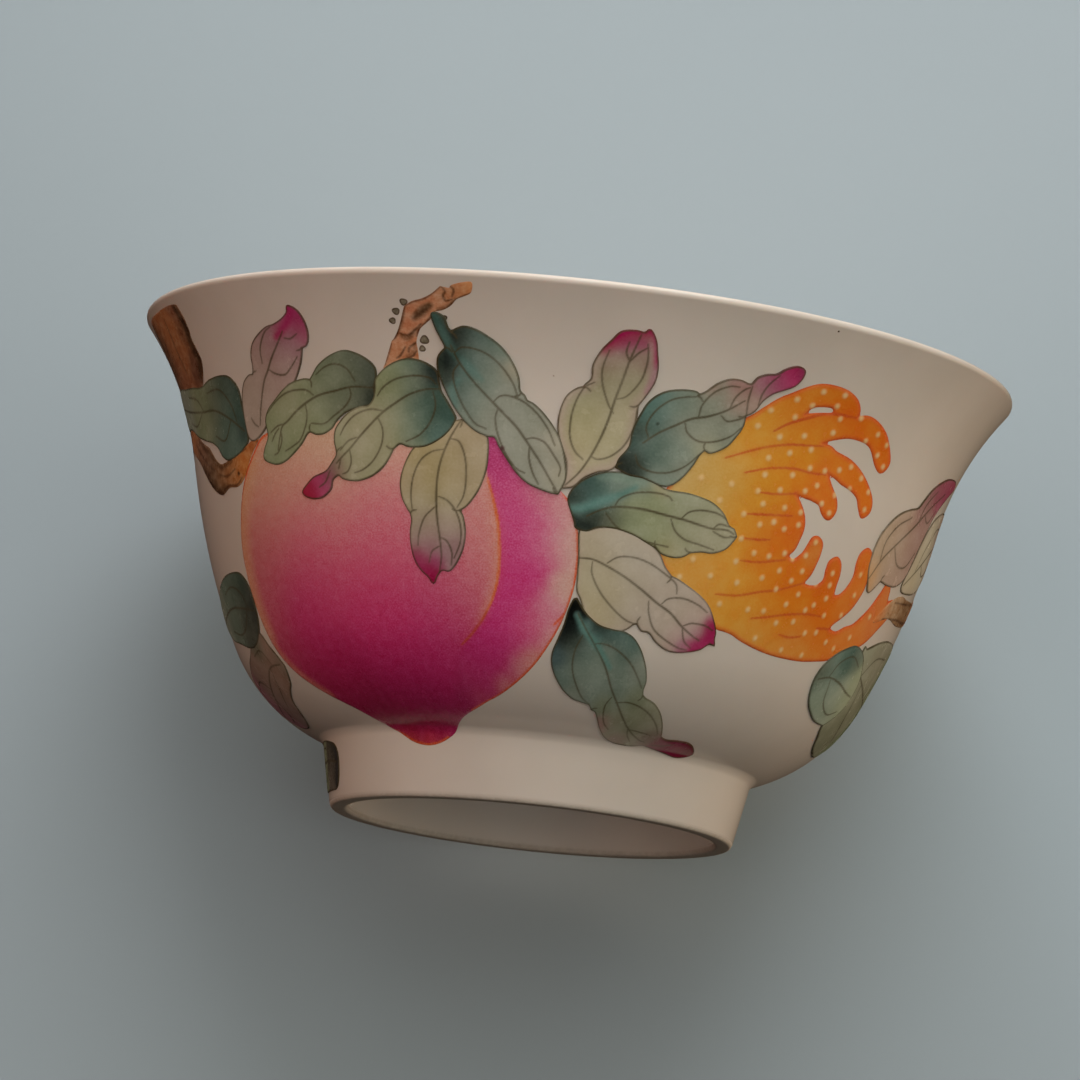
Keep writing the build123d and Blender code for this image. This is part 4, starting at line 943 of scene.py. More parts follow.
PEACH = dict(
    step=0.17, relief=0.07, shade=(0.92, 0.8, 0.86), colour=peach_colour,
    loops=[[
        (-53.4, 36.8), (-56, 35.2), (-58.8, 33), (-61, 30.6), (-63, 27.4), (-64.2, 24.6),
        (-64.6, 21.6), (-64.2, 18.4), (-63.2, 15.4), (-61.6, 12.4), (-59.4, 10), (-56.4, 8),
        (-53, 6.2), (-50, 4.8), (-47.4, 3.4), (-45.4, 1.8), (-44, 0.6), (-42, -0.2), (-39.4, -0.8),
        (-36, -1.6), (-33, -2), (-30, -2.1), (-27, -1.8), (-24.4, -1.2), (-22.6, -0.5),
        (-21.2, 0.8), (-19.6, 2), (-17.4, 3.2), (-14.6, 4.4), (-12, 5.6), (-9.6, 6.6), (-7, 8),
        (-4.6, 9.6), (-2.4, 11.4), (-0.6, 13.4), (1, 15.6), (2.2, 18), (3, 20.6), (3.2, 23.2),
        (2.9, 25.6), (2.2, 28), (1, 30), (-0.6, 31.2), (-4, 33.5), (-8, 36), (-10.4, 37.6),
        (-12, 37.4), (-14, 36.6), (-18, 36.2), (-24, 36.8), (-32, 37.8), (-40, 37.8), (-48, 37.4)]])
PEACH["strokes"] = [
    ("flame", 0.32, 0.85, [
        [(-12, 32), (-10.9, 29.6), (-10, 27), (-9.6, 24), (-9.7, 21), (-10.6, 18.4),
         (-12.2, 16.2)]]),
    ("brick", 0.32, 0.85, [[(-11.4, 17.2), (-12.2, 16.2), (-14.2, 14.4), (-16, 13.2)]]),
    ("vermilion", 0.42, 0.9, [
        [(-16, 4), (-12, 5.7), (-9.6, 6.7), (-7, 8.1), (-4.6, 9.7), (-2.4, 11.5), (-0.6, 13.5),
         (1, 15.7), (2.2, 18.2), (2.9, 20.6)],
        [(0.4, 16.4), (2.1, 18), (2.95, 20.6), (3.1, 23.2), (2.8, 25.6), (2.1, 28), (0.9, 30),
         (-0.4, 31.1)],
        [(-49.6, 37.2), (-53.4, 36.6), (-56, 35), (-58.8, 32.8), (-61, 30.4), (-62.9, 27.4)]]),
    ("orange", 0.3, 0.6, [
        [(-42.6, -0.2), (-39.4, -0.75), (-36, -1.5), (-33, -1.9), (-30, -2), (-27, -1.7),
         (-24.6, -1.1)],
        [(-62.9, 27.4), (-64.1, 24.6), (-64.5, 21.6), (-64.1, 18.4), (-63.1, 15.4)]])]
PEACH["washes"] = [
    ("blush", 3.2, 0.6, [
        (-57, 34), (-60.4, 30.6), (-62.8, 26.6), (-63.8, 22), (-63.4, 18), (-62, 14.6)]),
    ("ember", 1.6, 0.45, [(-61.4, 13), (-59, 10.4), (-56, 8.2), (-52, 6.2)])]

CITRON_LINES = [
    [(30.2, 41.3), (32.4, 42.5), (35.4, 43.6), (38, 44.5), (41, 44.8), (43.6, 44.9)],
    [(23.4, 37.4), (27, 38.6), (30, 39.5), (33.4, 40.2), (37, 40.6), (39.4, 40.9)],
    [(27, 36.2), (31, 37.2), (35, 37.7), (38.6, 37.7), (41.4, 37.9)],
    [(30.4, 34.4), (33.4, 34.6), (36.6, 35.1)], [(29, 31.8), (33, 32.2), (37, 32.6)],
    [(29.4, 29.1), (31.6, 29.2), (34, 29.5)], [(29.8, 26.6), (33, 26.8), (36.4, 27.4), (38, 27.7)],
    [(27, 22.4), (31, 22.7), (35, 23.6), (38.6, 24.3), (43, 25.6)],
    [(35, 20.5), (38, 21), (42, 21.8), (46.4, 22.4), (50, 22.6)],
    [(42, 19.4), (44.6, 19.4), (47, 19.8)], [(53.4, 21.5), (50, 21.2)]]
CITRON_SPOTS = [
    (32.4, 45.3), (36.2, 46.8), (40, 47), (35.2, 45), (28.8, 43.5), (33, 43.3), (39.4, 45.6),
    (40.8, 44.3), (27.4, 41.5), (31.4, 40.8), (35.5, 41.5), (40.4, 42.6), (44.6, 45), (49.2, 43.8),
    (47.2, 42.7), (52, 43), (50.8, 41.6), (53, 40.6), (30.4, 38.3), (33.8, 39.3), (37.4, 40.2),
    (38.1, 38.2), (41, 38.3), (43.8, 38.8), (46, 39.5), (48.9, 38.6), (47, 37.1), (51.4, 37.4),
    (51.6, 35.4), (35.2, 37), (40.2, 36.5), (30.4, 36.4), (33.6, 35.1), (38.2, 35.6), (44.2, 36),
    (42, 34.7), (44, 33.9), (20.2, 34.8), (25.2, 34.7), (29.8, 34.5), (31.2, 33.2), (35.2, 33.3),
    (38.4, 33.2), (23.8, 32.7), (28.3, 31.7), (31.5, 30.9), (33.9, 31.5), (36.1, 31), (38.6, 31.8),
    (28.9, 29), (31.8, 27.7), (34.7, 27.7), (37.5, 28.4), (39.4, 28), (43, 30.4), (41.8, 28.7),
    (29, 26.4), (21.6, 25.8), (34.6, 25.2), (37.5, 26.4), (40.5, 25.6), (42.1, 26.9), (25.2, 24.3),
    (30.2, 24.1), (38, 24.3), (42.9, 24.3), (28.2, 21.4), (33.8, 21.4), (41.1, 22.9), (37, 21.6),
    (40.4, 20.6), (37.2, 18.4), (47.2, 23.6), (48.9, 27.6), (49.2, 26.2), (49.5, 24.7), (46, 26),
    (45.7, 22.8), (44, 21.2), (50.6, 22.8), (50.4, 20.7), (47.7, 20.3), (43.8, 17.8), (49.2, 17.8),
    (54, 20), (20, 23.6), (56.4, 26), (56, 28.4), (55, 23.4), (57, 19.6), (60.4, 21.4), (64, 24.4)]
CITRON = dict(
    step=0.15, relief=0.07, dot_rise=0.5, shade=(0.97, 0.87, 0.6), ink=("rust", 0.02),
    margin=("vermilion", 0.6, 0.6),
    loops=[
        [(26, 42.4), (27.6, 43.5), (29.6, 44.9), (31.4, 45.8), (33.4, 46.8), (35.4, 47.5),
         (37.8, 47.7), (40.4, 47.5), (42.6, 46.8), (43.8, 45.8), (43.9, 45, 0), (46, 45.4),
         (48.6, 45), (51.2, 44), (53.4, 42.4), (54.4, 41.2), (53.8, 40.2), (52.6, 39.9), (51, 40.6),
         (49.4, 41.8), (48, 42.4), (46, 42.6), (43.6, 42.5), (41, 41.9), (39, 41.2, 0), (41, 41),
         (42.4, 40.6), (45.4, 40.2), (48.2, 39.4), (50.8, 38.2), (52.8, 36.8), (53.3, 35.6),
         (52.6, 34.8), (51.4, 34.5), (50.2, 35.4), (49.2, 36.4), (47.4, 37), (45, 37.4),
         (43.6, 37.8), (41.6, 38.2, 0), (43.2, 36.8), (44.8, 35.6), (45.4, 34.4), (44.8, 33.4),
         (43.8, 33.2), (42.6, 33.7), (41.6, 34.5), (40, 34.8), (38.6, 34.9), (36.6, 35.1, 0),
         (38.4, 33.8), (39.5, 32.6), (39.9, 31.4), (39.6, 30), (39.2, 29), (38.2, 28.2, 0),
         (39.6, 27.9), (41, 28.8), (41.6, 29.8), (42.2, 30.8), (43.4, 31), (44.6, 30.4),
         (44.8, 29.2), (44.6, 28), (44.2, 26.8), (43.2, 25.6, 0), (44.8, 25.5), (46.4, 25.8),
         (47.4, 26.6), (47.2, 27.8), (47.4, 28.8), (48.8, 29.4), (50.2, 28.8), (50.8, 27.6),
         (50.9, 26.2), (51.2, 25.2, 0), (52.6, 25.5), (53.8, 26.6), (54.4, 28), (54, 29.4),
         (54.2, 30.6), (55.6, 31.4), (57.2, 31), (58.2, 29.6), (58.6, 28.2), (58.6, 26.6),
         (57.4, 24.6), (55.6, 23.2), (54, 22.2), (53.4, 21.5, 0), (55.6, 21.4), (57.6, 22.2),
         (59.6, 22.8), (61.4, 24), (63, 25.4), (64.4, 27.2), (65.8, 28.8), (67.6, 28.2),
         (68.6, 26.9), (71, 27.2), (72, 25.6), (69.6, 23.6), (66, 21.2), (60, 19.3), (57, 18.2),
         (54, 17.7), (50, 17.2), (46, 17), (42, 17), (38, 17.3), (34.6, 17.8), (32.4, 18.3),
         (30.6, 18.5), (29.2, 18.6), (26, 19.3), (22, 21), (18.4, 23.2), (16, 25.6), (14.8, 28),
         (14.6, 31), (15.4, 33.2), (17, 35.6), (19, 38), (22, 40.4)],
        [(34.4, 43.8, 0), (35.4, 44.8), (37, 45.2), (38.8, 45.3), (39.2, 44.7), (37, 44.3)]],
    tints=[
        (18, 36, (0.8, 0.6, 0.3)), (20, 30, (0.82, 0.62, 0.3)), (24, 35, (0.84, 0.57, 0.22)),
        (30, 34, (0.87, 0.45, 0.06)), (24, 24, (0.94, 0.54, 0.17)), (30, 24, (0.95, 0.51, 0.11)),
        (35, 30, (0.92, 0.24, 0.015)), (38.6, 30.4, (0.92, 0.25, 0.03), 1.4),
        (35.6, 25.4, (0.95, 0.34, 0.03)), (41, 25, (0.93, 0.27, 0.02), 1.6),
        (40, 22, (0.94, 0.36, 0.035)), (28, 40, (0.93, 0.5, 0.11)), (35, 44, (0.93, 0.36, 0.06)),
        (40, 46, (0.92, 0.28, 0.03)), (43, 46, (0.92, 0.22, 0.02), 1.4),
        (48, 44, (0.93, 0.28, 0.03)), (53.4, 41, (0.92, 0.24, 0.03), 1.4),
        (45, 39, (0.94, 0.31, 0.03)), (52.4, 35.6, (0.93, 0.28, 0.04)),
        (36, 39.4, (0.92, 0.42, 0.04)), (36, 36, (0.91, 0.31, 0.02), 1.6),
        (32, 36, (0.9, 0.42, 0.04), 1.6), (42, 36, (0.93, 0.27, 0.03)),
        (44.6, 33.8, (0.92, 0.25, 0.03), 1.4), (50, 22, (0.92, 0.26, 0.02)),
        (36, 18.6, (0.93, 0.5, 0.15)), (47, 18, (0.93, 0.44, 0.13)),
        (43.6, 30, (0.88, 0.32, 0.08), 1.4), (49, 27.6, (0.88, 0.23, 0.03), 1.4),
        (56, 29, (0.93, 0.3, 0.06)), (56, 25, (0.92, 0.32, 0.07)), (60, 21, (0.94, 0.34, 0.08)),
        (66, 26, (0.9, 0.32, 0.12)), (30, 30, (0.94, 0.48, 0.09)), (33, 21, (0.94, 0.5, 0.1))],
    dots=[(a, b, 0.5, "spot") for a, b in CITRON_SPOTS])
CITRON["strokes"] = [("rust", 0.3, 0.85, CITRON_LINES)]

POMEGRANATE = dict(
    step=0.2, relief=0.07, level=1, ink=("brick", 0.1),
    loops=[[
        (182, 32), (176, 33.6), (165, 33.4), (156, 30), (150.6, 24.4), (151, 17.4), (157, 11.6),
        (166, 8.6), (178, 8.4), (189, 11.4), (195.4, 17.4), (196, 24.4), (190, 30)]],
    tints=[
        (168, 32, "brick", 2.5), (156, 26, "flame", 4), (152, 19, (0.9, 0.42, 0.14), 3.5),
        (166, 28, "apricot", 3.6), (166, 12, "flame", 4), (180, 11, "brick", 4),
        (190, 16, "flame", 4), (192, 25, "brick", 4), (184, 27, "flame", 3.5),
        (160, 20, "apricot", 4), (186, 20, "flame", 4)])
SPLIT = [
    (164, 15.4), (161.6, 19.4), (164, 24), (170, 27.4), (176.6, 26.2), (181, 21.4), (180.4, 16.6),
    (175.4, 13.2), (169, 12.8)]
POMEGRANATE_LINES = [
    [(160, 31), (157.6, 27), (157, 22)], [(186, 30), (190, 26), (191, 20)],
    [(171, 32.6), (171.6, 30), (171, 28.4)]]
PITH = [        # azimuth, height, radius
    (170.9, 16.6, 3.9), (170.9, 20, 6.6), (170.9, 23.6, 4.4), (165, 19, 2.6), (177, 20, 3.4),
    (176, 24, 2.6)]
SEEDS = [
    (166 + 3.1 * (column + row % 2 / 2), 15.4 + 1.9 * row)
    for row in range(6) for column in range(6)]
SEED_MARGIN = 0.9           # no seed's middle is nearer the edge of the split, mm
split = line_of(SPLIT, closed=True)


def within(azimuth, height):
    """Whether a point of the wall is well inside the split in the pomegranate."""
    x = azimuth * DEGREE
    p, q = split[:-1], split[1:]
    cross = (p[:, 1] > height) != (q[:, 1] > height)
    p, q = p[cross], q[cross]
    side_x = p[:, 0] + (height - p[:, 1]) / (q[:, 1] - p[:, 1]) * (q[:, 0] - p[:, 0])
    near_edge = np.hypot(split[:, 0] - x, split[:, 1] - height).min()
    return (side_x > x).sum() % 2 == 1 and near_edge > SEED_MARGIN


POMEGRANATE["dots"] = [(*place, "pith") for place in PITH]
POMEGRANATE["dots"] += [(*seed, 0.85, "seed") for seed in SEEDS if within(*seed)]
POMEGRANATE["strokes"] = [("brick", 0.34, 0.9, [split, *POMEGRANATE_LINES])]
CROWN = dict(
    step=0.15, relief=0.05, level=2, ink=("brick", 0.1),
    loops=[[
        (161, 33.6), (156.6, 37.6), (153.4, 41.6, 0), (159, 40.2, 0), (161.6, 43.8, 0),
        (165, 40.4, 0), (170, 43.4, 0), (170.4, 39.2, 0), (176, 40, 0), (172, 36.6),
        (171.6, 33.6, 0)]],
    lines=[
        [(166, 34), (164, 37.4), (162, 42)], [(164, 34), (160, 37.6), (155.6, 40.8)],
        [(168, 34), (168, 38), (169.4, 42)]],
    tints=[
        (166, 34, "flame"), (164, 37.6, "apricot"), (155, 41, "brick", 1.4),
        (161.6, 43, "brick", 1.4), (169.4, 42.4, "brick", 1.4), (175, 39.6, "brick", 1.4)])

# ---- branches -------------------------------------------------------------
BRANCHES = {}
BRANCHES["peach_branch"] = dict(
    loops=[[
        (-14.7, 53.8), (-15.8, 53.8), (-17.4, 53.4), (-17.8, 53, 0), (-19, 53.2, 0), (-20.1, 52.4),
        (-21.1, 51.9), (-22, 51.6), (-22.9, 51.4), (-23.7, 51.1), (-24.4, 50.7, 0), (-24.8, 49.9),
        (-25.2, 49), (-25.8, 47.9), (-26.5, 47), (-26.9, 46.7, 0), (-27.5, 45.6), (-28.2, 44.3),
        (-28.6, 43.6), (-28, 43.2, 0), (-25.1, 44), (-23.1, 44.4), (-23, 45.7), (-23.1, 46.7),
        (-22.6, 47.8), (-22.2, 48.3), (-21.3, 48.9), (-20.5, 49.5), (-20, 50.2, 0), (-18.9, 50.4),
        (-17.8, 50.9), (-16.9, 51.7), (-15.9, 52.1), (-14.9, 52.6)]],
    lines=[
        [(-24.3, 50.7), (-24.7, 49.8), (-25.3, 48.7), (-26.1, 47.3), (-26.8, 46.8)],
        [(-27, 46.4), (-27.5, 45.4), (-28.3, 44)],
        [(-19, 53.1), (-21.1, 51.8), (-22.9, 51.3), (-24.2, 50.8)],
        [(-18.8, 53.2), (-18.4, 52.6), (-18.7, 52.1), (-18.4, 51.5), (-17.5, 51.7)],
        [(-17.7, 53.3), (-17.2, 52.8), (-17.5, 52)],
        [(-19.8, 50.3), (-18.4, 50.6), (-16.9, 51.7), (-15, 52.5)],
        [(-25.5, 47.6), (-24.2, 47.4), (-22.9, 48.2), (-22.2, 48.7)],
        [(-20.1, 50.1), (-21.3, 49), (-22.4, 48.2)], [(-22.3, 48.6), (-23, 47.3)],
        [(-24.9, 46), (-25.7, 45.1), (-26.3, 44.8)], [(-23.1, 46.6), (-24.2, 46), (-24.4, 45.5)],
        [(-23.2, 45.6), (-23.9, 45), (-25, 44.7)]],
    tints=[
        (-15.2, 53.4, (0.95, 0.44, 0.18), 0.9), (-16.6, 52.8, (0.72, 0.36, 0.18), 0.9),
        (-18.4, 52, (0.72, 0.38, 0.22)), (-20.6, 52, (0.8, 0.42, 0.26), 1),
        (-23, 50.4, (0.74, 0.38, 0.23), 1), (-24.6, 48.6, (0.74, 0.38, 0.24)),
        (-26.4, 45.6, (0.8, 0.4, 0.22)), (-27.6, 44.4, (0.8, 0.48, 0.32), 0.8),
        (-24.6, 45.4, (0.58, 0.3, 0.17), 1)],
    washes=[
        ("umber", 0.75, 0.9, [(-23.1, 49.4), (-22, 50), (-20.7, 50.9)]),
        ("umber", 0.5, 0.55, [(-20.9, 50.9), (-21.8, 50.6), (-22.9, 49.9)]),
        ("darkbrown", 0.6, 0.75, [(-25.3, 47.3), (-24.3, 47.1), (-23.2, 47.9)]),
        ("darkbrown", 0.5, 0.6, [(-24.7, 49.8), (-25.4, 48.4), (-26.4, 47.1)]),
        ("darkbrown", 0.5, 0.5, [(-23.4, 46.4), (-23.6, 45.6), (-24.6, 45)]),
        ("darkbrown", 0.35, 0.5, [(-19.6, 50.5), (-18.2, 50.9), (-17, 51.8)])])
BRANCHES["rim_branch"] = dict(
    level=1,
    loops=[[
        (-69.6, 53.6), (-68.5, 52.8), (-68.4, 50.5), (-68.8, 49), (-68, 46.6), (-69.2, 44.8),
        (-71.2, 43.4), (-76, 42.4), (-84, 43), (-87.6, 48), (-86, 53.2), (-77, 53.7)]],
    lines=[
        [(-68.8, 53), (-68.6, 50.5), (-69, 49), (-68.2, 46.6), (-69.4, 45)],
        [(-76, 52.6), (-77, 49), (-76, 46)], [(-82, 52), (-83.6, 48), (-81, 44.4)]],
    tints=[
        (-71, 50, (0.34, 0.17, 0.09), 0.8), (-71, 46, (0.26, 0.13, 0.08), 1),
        (-70, 53.6, (0.4, 0.2, 0.12), 1), (-75, 48, (0.52, 0.25, 0.12), 1),
        (-78, 50, (0.62, 0.29, 0.13)), (-80, 45, (0.42, 0.2, 0.11)), (-85, 48, "darkbrown")],
    washes=[
        ("umber", 1.5, 0.95, [(-69.4, 53.2), (-69, 50.5), (-69.2, 48.6), (-68.6, 46.6),
         (-69.8, 44.8)]),
        ("umber", 1.6, 0.7, [(-86, 53), (-87, 48), (-84, 43.6)])])
BRANCHES["stalk_branch"] = dict(
    level=1,
    loops=[[
        (-54, 36.9), (-57, 36.2), (-59, 35.6), (-62, 35.2), (-65, 34.6), (-67.6, 34.6), (-70, 35.6),
        (-72, 36.8), (-75, 37.6), (-79, 39), (-84, 41), (-85.4, 38.2), (-79, 36), (-76, 34.4),
        (-73.6, 33), (-71, 31.8), (-68, 31.1), (-65, 31.7), (-62, 31.6), (-59.6, 32.4),
        (-57, 34.6)]],
    lines=[
        [(-60, 32.5), (-62, 31.8), (-65, 31.9), (-68, 31.3), (-71, 32), (-76, 34.6), (-80, 36.4)],
        [(-58, 35.6), (-62, 35), (-66, 34.5)], [(-62, 33.6), (-65, 33), (-68, 33.4)],
        [(-70, 34), (-74, 35.4), (-80, 38)]],
    tints=[
        (-56, 35.8, (0.56, 0.24, 0.1), 1.2), (-59, 34.2, (0.78, 0.32, 0.09), 1.2),
        (-62, 33.4, (0.64, 0.31, 0.12)), (-66, 33, (0.48, 0.26, 0.13)),
        (-70, 33, (0.24, 0.17, 0.11)), (-76, 36, (0.34, 0.2, 0.13)), (-83, 39.4, "brown")],
    washes=[
        ("umber", 1.1, 0.75, [(-66, 31.8), (-69, 31.6), (-72.4, 33), (-76, 35)]),
        ("umber", 0.7, 0.6, [(-63, 34.6), (-67, 34.2), (-71, 35.8), (-77, 38)])],
    dots=[(-61, 33, 0.4, "umber")])
BRANCHES["citron_branch"] = dict(
    level=1,
    loops=[[
        (66, 24), (72, 25.2), (80, 25.2), (92, 27), (104, 31), (119, 36.4), (121, 39), (104, 34),
        (92, 29.8), (80, 28.4), (74, 28.2), (69, 26.6)]],
    lines=[
        [(69, 24.8), (76, 25.6), (86, 26.4), (98, 29.4), (112, 34.2)],
        [(72, 27.2), (82, 28.2), (94, 30), (108, 34.6)], [(88, 27.4), (91, 28.4), (94, 28.4)],
        [(101, 31), (104, 32.6), (107, 32.8)]],
    tints=[
        (67, 24.6, (0.86, 0.32, 0.09), 1.5), (72, 26.4, (0.62, 0.42, 0.26)),
        (80, 27, (0.36, 0.22, 0.12)), (92, 28.6, "brown"), (104, 32.6, "darkbrown"),
        (117, 36.8, "brown")])
BRANCHES["pomegranate_branch"] = dict(
    loops=[[
        (-84, 41.6), (-96, 40), (-110, 35.2), (-124, 29.6), (-138, 24.4), (-152, 19.8),
        (-162.6, 17.8), (-162.6, 15.8), (-152, 17), (-136, 21.4), (-122, 26), (-108, 31.6),
        (-95, 36.6), (-85.4, 38)]],
    lines=[
        [(-86, 38.4), (-96, 37), (-108, 32.2), (-122, 26.6), (-136, 22), (-152, 17.6)],
        [(-90, 40.4), (-102, 37.6), (-112, 34), (-126, 28.4)],
        [(-104, 35), (-108, 34.4), (-111, 32.4)], [(-130, 26.4), (-134, 24.6), (-139, 23.6)]],
    tints=[
        (-86, 39.6, "darkbrown"), (-98, 37.6, "brown"), (-110, 33.6, "darkbrown"),
        (-124, 27.8, "brown"), (-138, 22.8, "brown"), (-156, 17.6, "darkbrown")])

LICHEN = [      # azimuth, height, radius
    (-24.4, 51.2, 0.3), (-25.7, 50.1, 0.3), (-26.4, 49, 0.26), (-21.9, 46.9, 0.38),
    (-22.3, 45.9, 0.24), (-18.8, 49.5, 0.2)]
KILN_SPECKS = [(34.3, 54, 0.11), (-3.4, 43.8, 0.09)]


# ---- materials ------------------------------------------------------------
class Material:
    """A material, and short ways to add nodes to it."""

    def __init__(self, name):
        self.material = bpy.data.materials.new(name)
        self.material.use_nodes = True
        self.nodes, self.links = self.material.node_tree.nodes, self.material.node_tree.links
        self.shader = self.nodes["Principled BSDF"]

    def attribute(self, name, output):
        node = self.nodes.new("ShaderNodeAttribute")
        node.attribute_name = name
        return node.outputs[output]

    def place(self):
        return self.nodes.new("ShaderNodeTexCoord").outputs["Object"]

    def noise(self, coordinate, scale, detail):
        """Noise whose scale is in features per unit of the coordinate."""
        mapping = self.nodes.new("ShaderNodeMapping")
        mapping.inputs["Scale"].default_value = [scale] * 3
        texture = self.nodes.new("ShaderNodeTexNoise")
        texture.inputs["Scale"].default_value = 1.0
        texture.inputs["Detail"].default_value = detail
        self.links.new(coordinate, mapping.inputs["Vector"])
        self.links.new(mapping.outputs["Vector"], texture.inputs["Vector"])
        return texture.outputs["Fac"]

    def spread(self, value, low, high, source=(0.3, 0.7)):
        """A value that runs over source, brought to run from low to high."""
        mapper = self.nodes.new("ShaderNodeMapRange")
        ends = {"From Min": source[0], "From Max": source[1], "To Min": low, "To Max": high}
        for socket, number in ends.items():
            mapper.inputs[socket].default_value = number
        self.links.new(value, mapper.inputs["Value"])
        return mapper.outputs["Result"]

    def ramp(self, value, low, high, source=(0, 1)):
        """A colour that runs from low to high as the value runs over source."""
        node = self.nodes.new("ShaderNodeValToRGB")
        for element, position, colour in zip(node.color_ramp.elements, source, (low, high)):
            element.position = position
            element.color = (*colour, 1)
        self.links.new(value, node.inputs["Fac"])
        return node.outputs["Color"]

    def mix(self, factor, first, second):
        node = self.nodes.new("ShaderNodeMix")
        node.data_type = "RGBA"
        self.links.new(factor, node.inputs["Factor"])
        self.links.new(first, node.inputs["A"])
        if isinstance(second, tuple):
            node.inputs["B"].default_value = (*second, 1)
        else:
            self.links.new(second, node.inputs["B"])
        return node.outputs["Result"]

    def surface(self, colour, roughness):
        self.links.new(colour, self.shader.inputs["Base Color"])
        self.links.new(roughness, self.shader.inputs["Roughness"])

    def relief(self, height, strength, depth):
        """Bumps as deep as depth, in mm, times strength."""
        bumps = self.nodes.new("ShaderNodeBump")
        bumps.inputs["Strength"].default_value = strength
        bumps.inputs["Distance"].default_value = depth * MM
        self.links.new(height, bumps.inputs["Height"])
        self.links.new(bumps.outputs["Normal"], self.shader.inputs["Normal"])


def enamel(name, wash, grain, gloss, bump):
    """Overglaze enamel: brush wash and the grain of the pigment thicken and thin its tint."""
    m = Material(name)
    wall = m.attribute("Wall", "Vector")
    thick = m.spread(m.noise(wall, wash[0], 4), 1 - 0.6 * wash[1], 1 + wash[1])
    fine = m.spread(m.noise(wall, grain[0], 2), 1 - 0.5 * grain[1], 1 + grain[1])
    product = m.nodes.new("ShaderNodeMath")
    product.operation = "MULTIPLY"
    m.links.new(thick, product.inputs[0])
    m.links.new(fine, product.inputs[1])
    gamma = m.nodes.new("ShaderNodeGamma")
    m.links.new(m.attribute("Tint", "Color"), gamma.inputs["Color"])
    m.links.new(product.outputs[0], gamma.inputs["Gamma"])
    m.surface(gamma.outputs["Color"], m.spread(m.noise(wall, 0.5, 3), *gloss))
    m.relief(m.noise(wall, 2.2, 3), bump, 0.02)
    return m.material


def porcelain():
    """Warm white glaze with a few iron specks, and bare clay where the bowl stands."""
    m = Material("glazed_porcelain")
    place = m.place()
    tone = m.ramp(m.noise(place, 90, 4), (0.775, 0.712, 0.652), (0.825, 0.760, 0.700), (0.3, 0.7))
    specks = m.nodes.new("ShaderNodeTexVoronoi")
    specks.inputs["Scale"].default_value = 75
    m.links.new(place, specks.inputs["Vector"])
    speck = m.spread(specks.outputs["Distance"], 0.55, 0, (0.006, 0.011))
    glaze = m.mix(speck, tone, (0.16, 0.11, 0.07))
    clay = m.ramp(m.noise(place, 1800, 3), (0.50, 0.44, 0.38), (0.74, 0.68, 0.61))
    bare = m.attribute("Bare", "Fac")
    m.surface(m.mix(bare, glaze, clay), m.spread(bare, 0.16, 0.75, (0, 1)))
    m.relief(m.noise(place, 420, 2), 0.25, 0.03)
    m.shader.inputs["Subsurface Weight"].default_value = 0.12
    m.shader.inputs["Subsurface Radius"].default_value = (1.0, 0.7, 0.5)
    m.shader.inputs["Subsurface Scale"].default_value = 0.8 * MM
    return m.material


def floor_material():
    """Pale matt surface, seen from its front only, so that it hides nothing from behind."""
    m = Material("pale_floor")
    tone = m.ramp(m.noise(m.place(), 6, 3), (0.305, 0.385, 0.440), (0.345, 0.430, 0.490))
    m.links.new(tone, m.shader.inputs["Base Color"])
    m.shader.inputs["Roughness"].default_value = 0.5
    clear = m.nodes.new("ShaderNodeBsdfTransparent")
    either = m.nodes.new("ShaderNodeMixShader")
    m.links.new(m.nodes.new("ShaderNodeNewGeometry").outputs["Backfacing"], either.inputs[0])
    m.links.new(m.shader.outputs[0], either.inputs[1])
    m.links.new(clear.outputs[0], either.inputs[2])
    m.links.new(either.outputs[0], m.nodes["Material Output"].inputs["Surface"])
    return m.material


# ---- porcelain ------------------------------------------------------------
def wall_points(start, end, count):
    s = np.linspace(start, end, count)
    return np.stack([np.interp(s, wall_s, wall_rz[:, k]) for k in (0, 1)], 1)


def profile(*runs, bare=0.0):
    """Runs of (radius, height) joined, in glazed porcelain or in bare clay."""
    points = np.vstack(runs)
    return np.column_stack([points, np.full(len(points), bare)])


seam_s = -math.dist(FOOT_BASE, FOOT_TOP) * (1 - SEAM / FOOT_TOP[1])
seam_r = wall_points(seam_s, seam_s, 1)[0, 0]
floor_z = BELLY[1] - BELLY_RADIUS + THICKNESS
EDGE_ROUND = 0.4            # of the ring's two lower corners
CLAY_TOP, GLAZE_START = -7.25, -6.9     # on the outside of the foot, up the wall
body_outline = profile(
    [(r, SEAM) for r in (AXIS, 6, 12, 18, seam_r - 0.5)],
    wall_points(seam_s, 2.5, 32), wall_points(2.5, 50, 110)[1:],
    wall_points(50, height_up[-1], 70)[1:], inner_flare[::-1][1::2],
    inner_side[::-1][1::3], inner_belly[::-1][1::2],
    [(r, floor_z) for r in (14, 9, 4, AXIS)],
)
standing = profile(
    turn((21.4, EDGE_ROUND), EDGE_ROUND, -90, 0, 8), [(21.7, 0), (22.3, 0)],
    turn((22.62, EDGE_ROUND), EDGE_ROUND, 0, 79, 8)[:-2], bare=1.0,
)
ring_inside = [     # from the seam down to the edge the bowl stands on
    (19, SEAM - 0.02), (19.45, 6.1), (19.8, 5.92), (20.05, 5.66), (20.2, 5.3), (20.3, 4.8),
    (20.5, 3.6), (20.75, 2), (20.93, 0.85)]
ring_outline = np.vstack([standing, profile(
    wall_points(CLAY_TOP, GLAZE_START, 3), wall_points(GLAZE_START, seam_s, 28)[1:], ring_inside,
)])
pot = porcelain()
for name, outline in (("bowl_body", body_outline), ("foot_ring", ring_outline)):
    lathe("turned_" + name, outline, [name]).data.materials.append(pot)

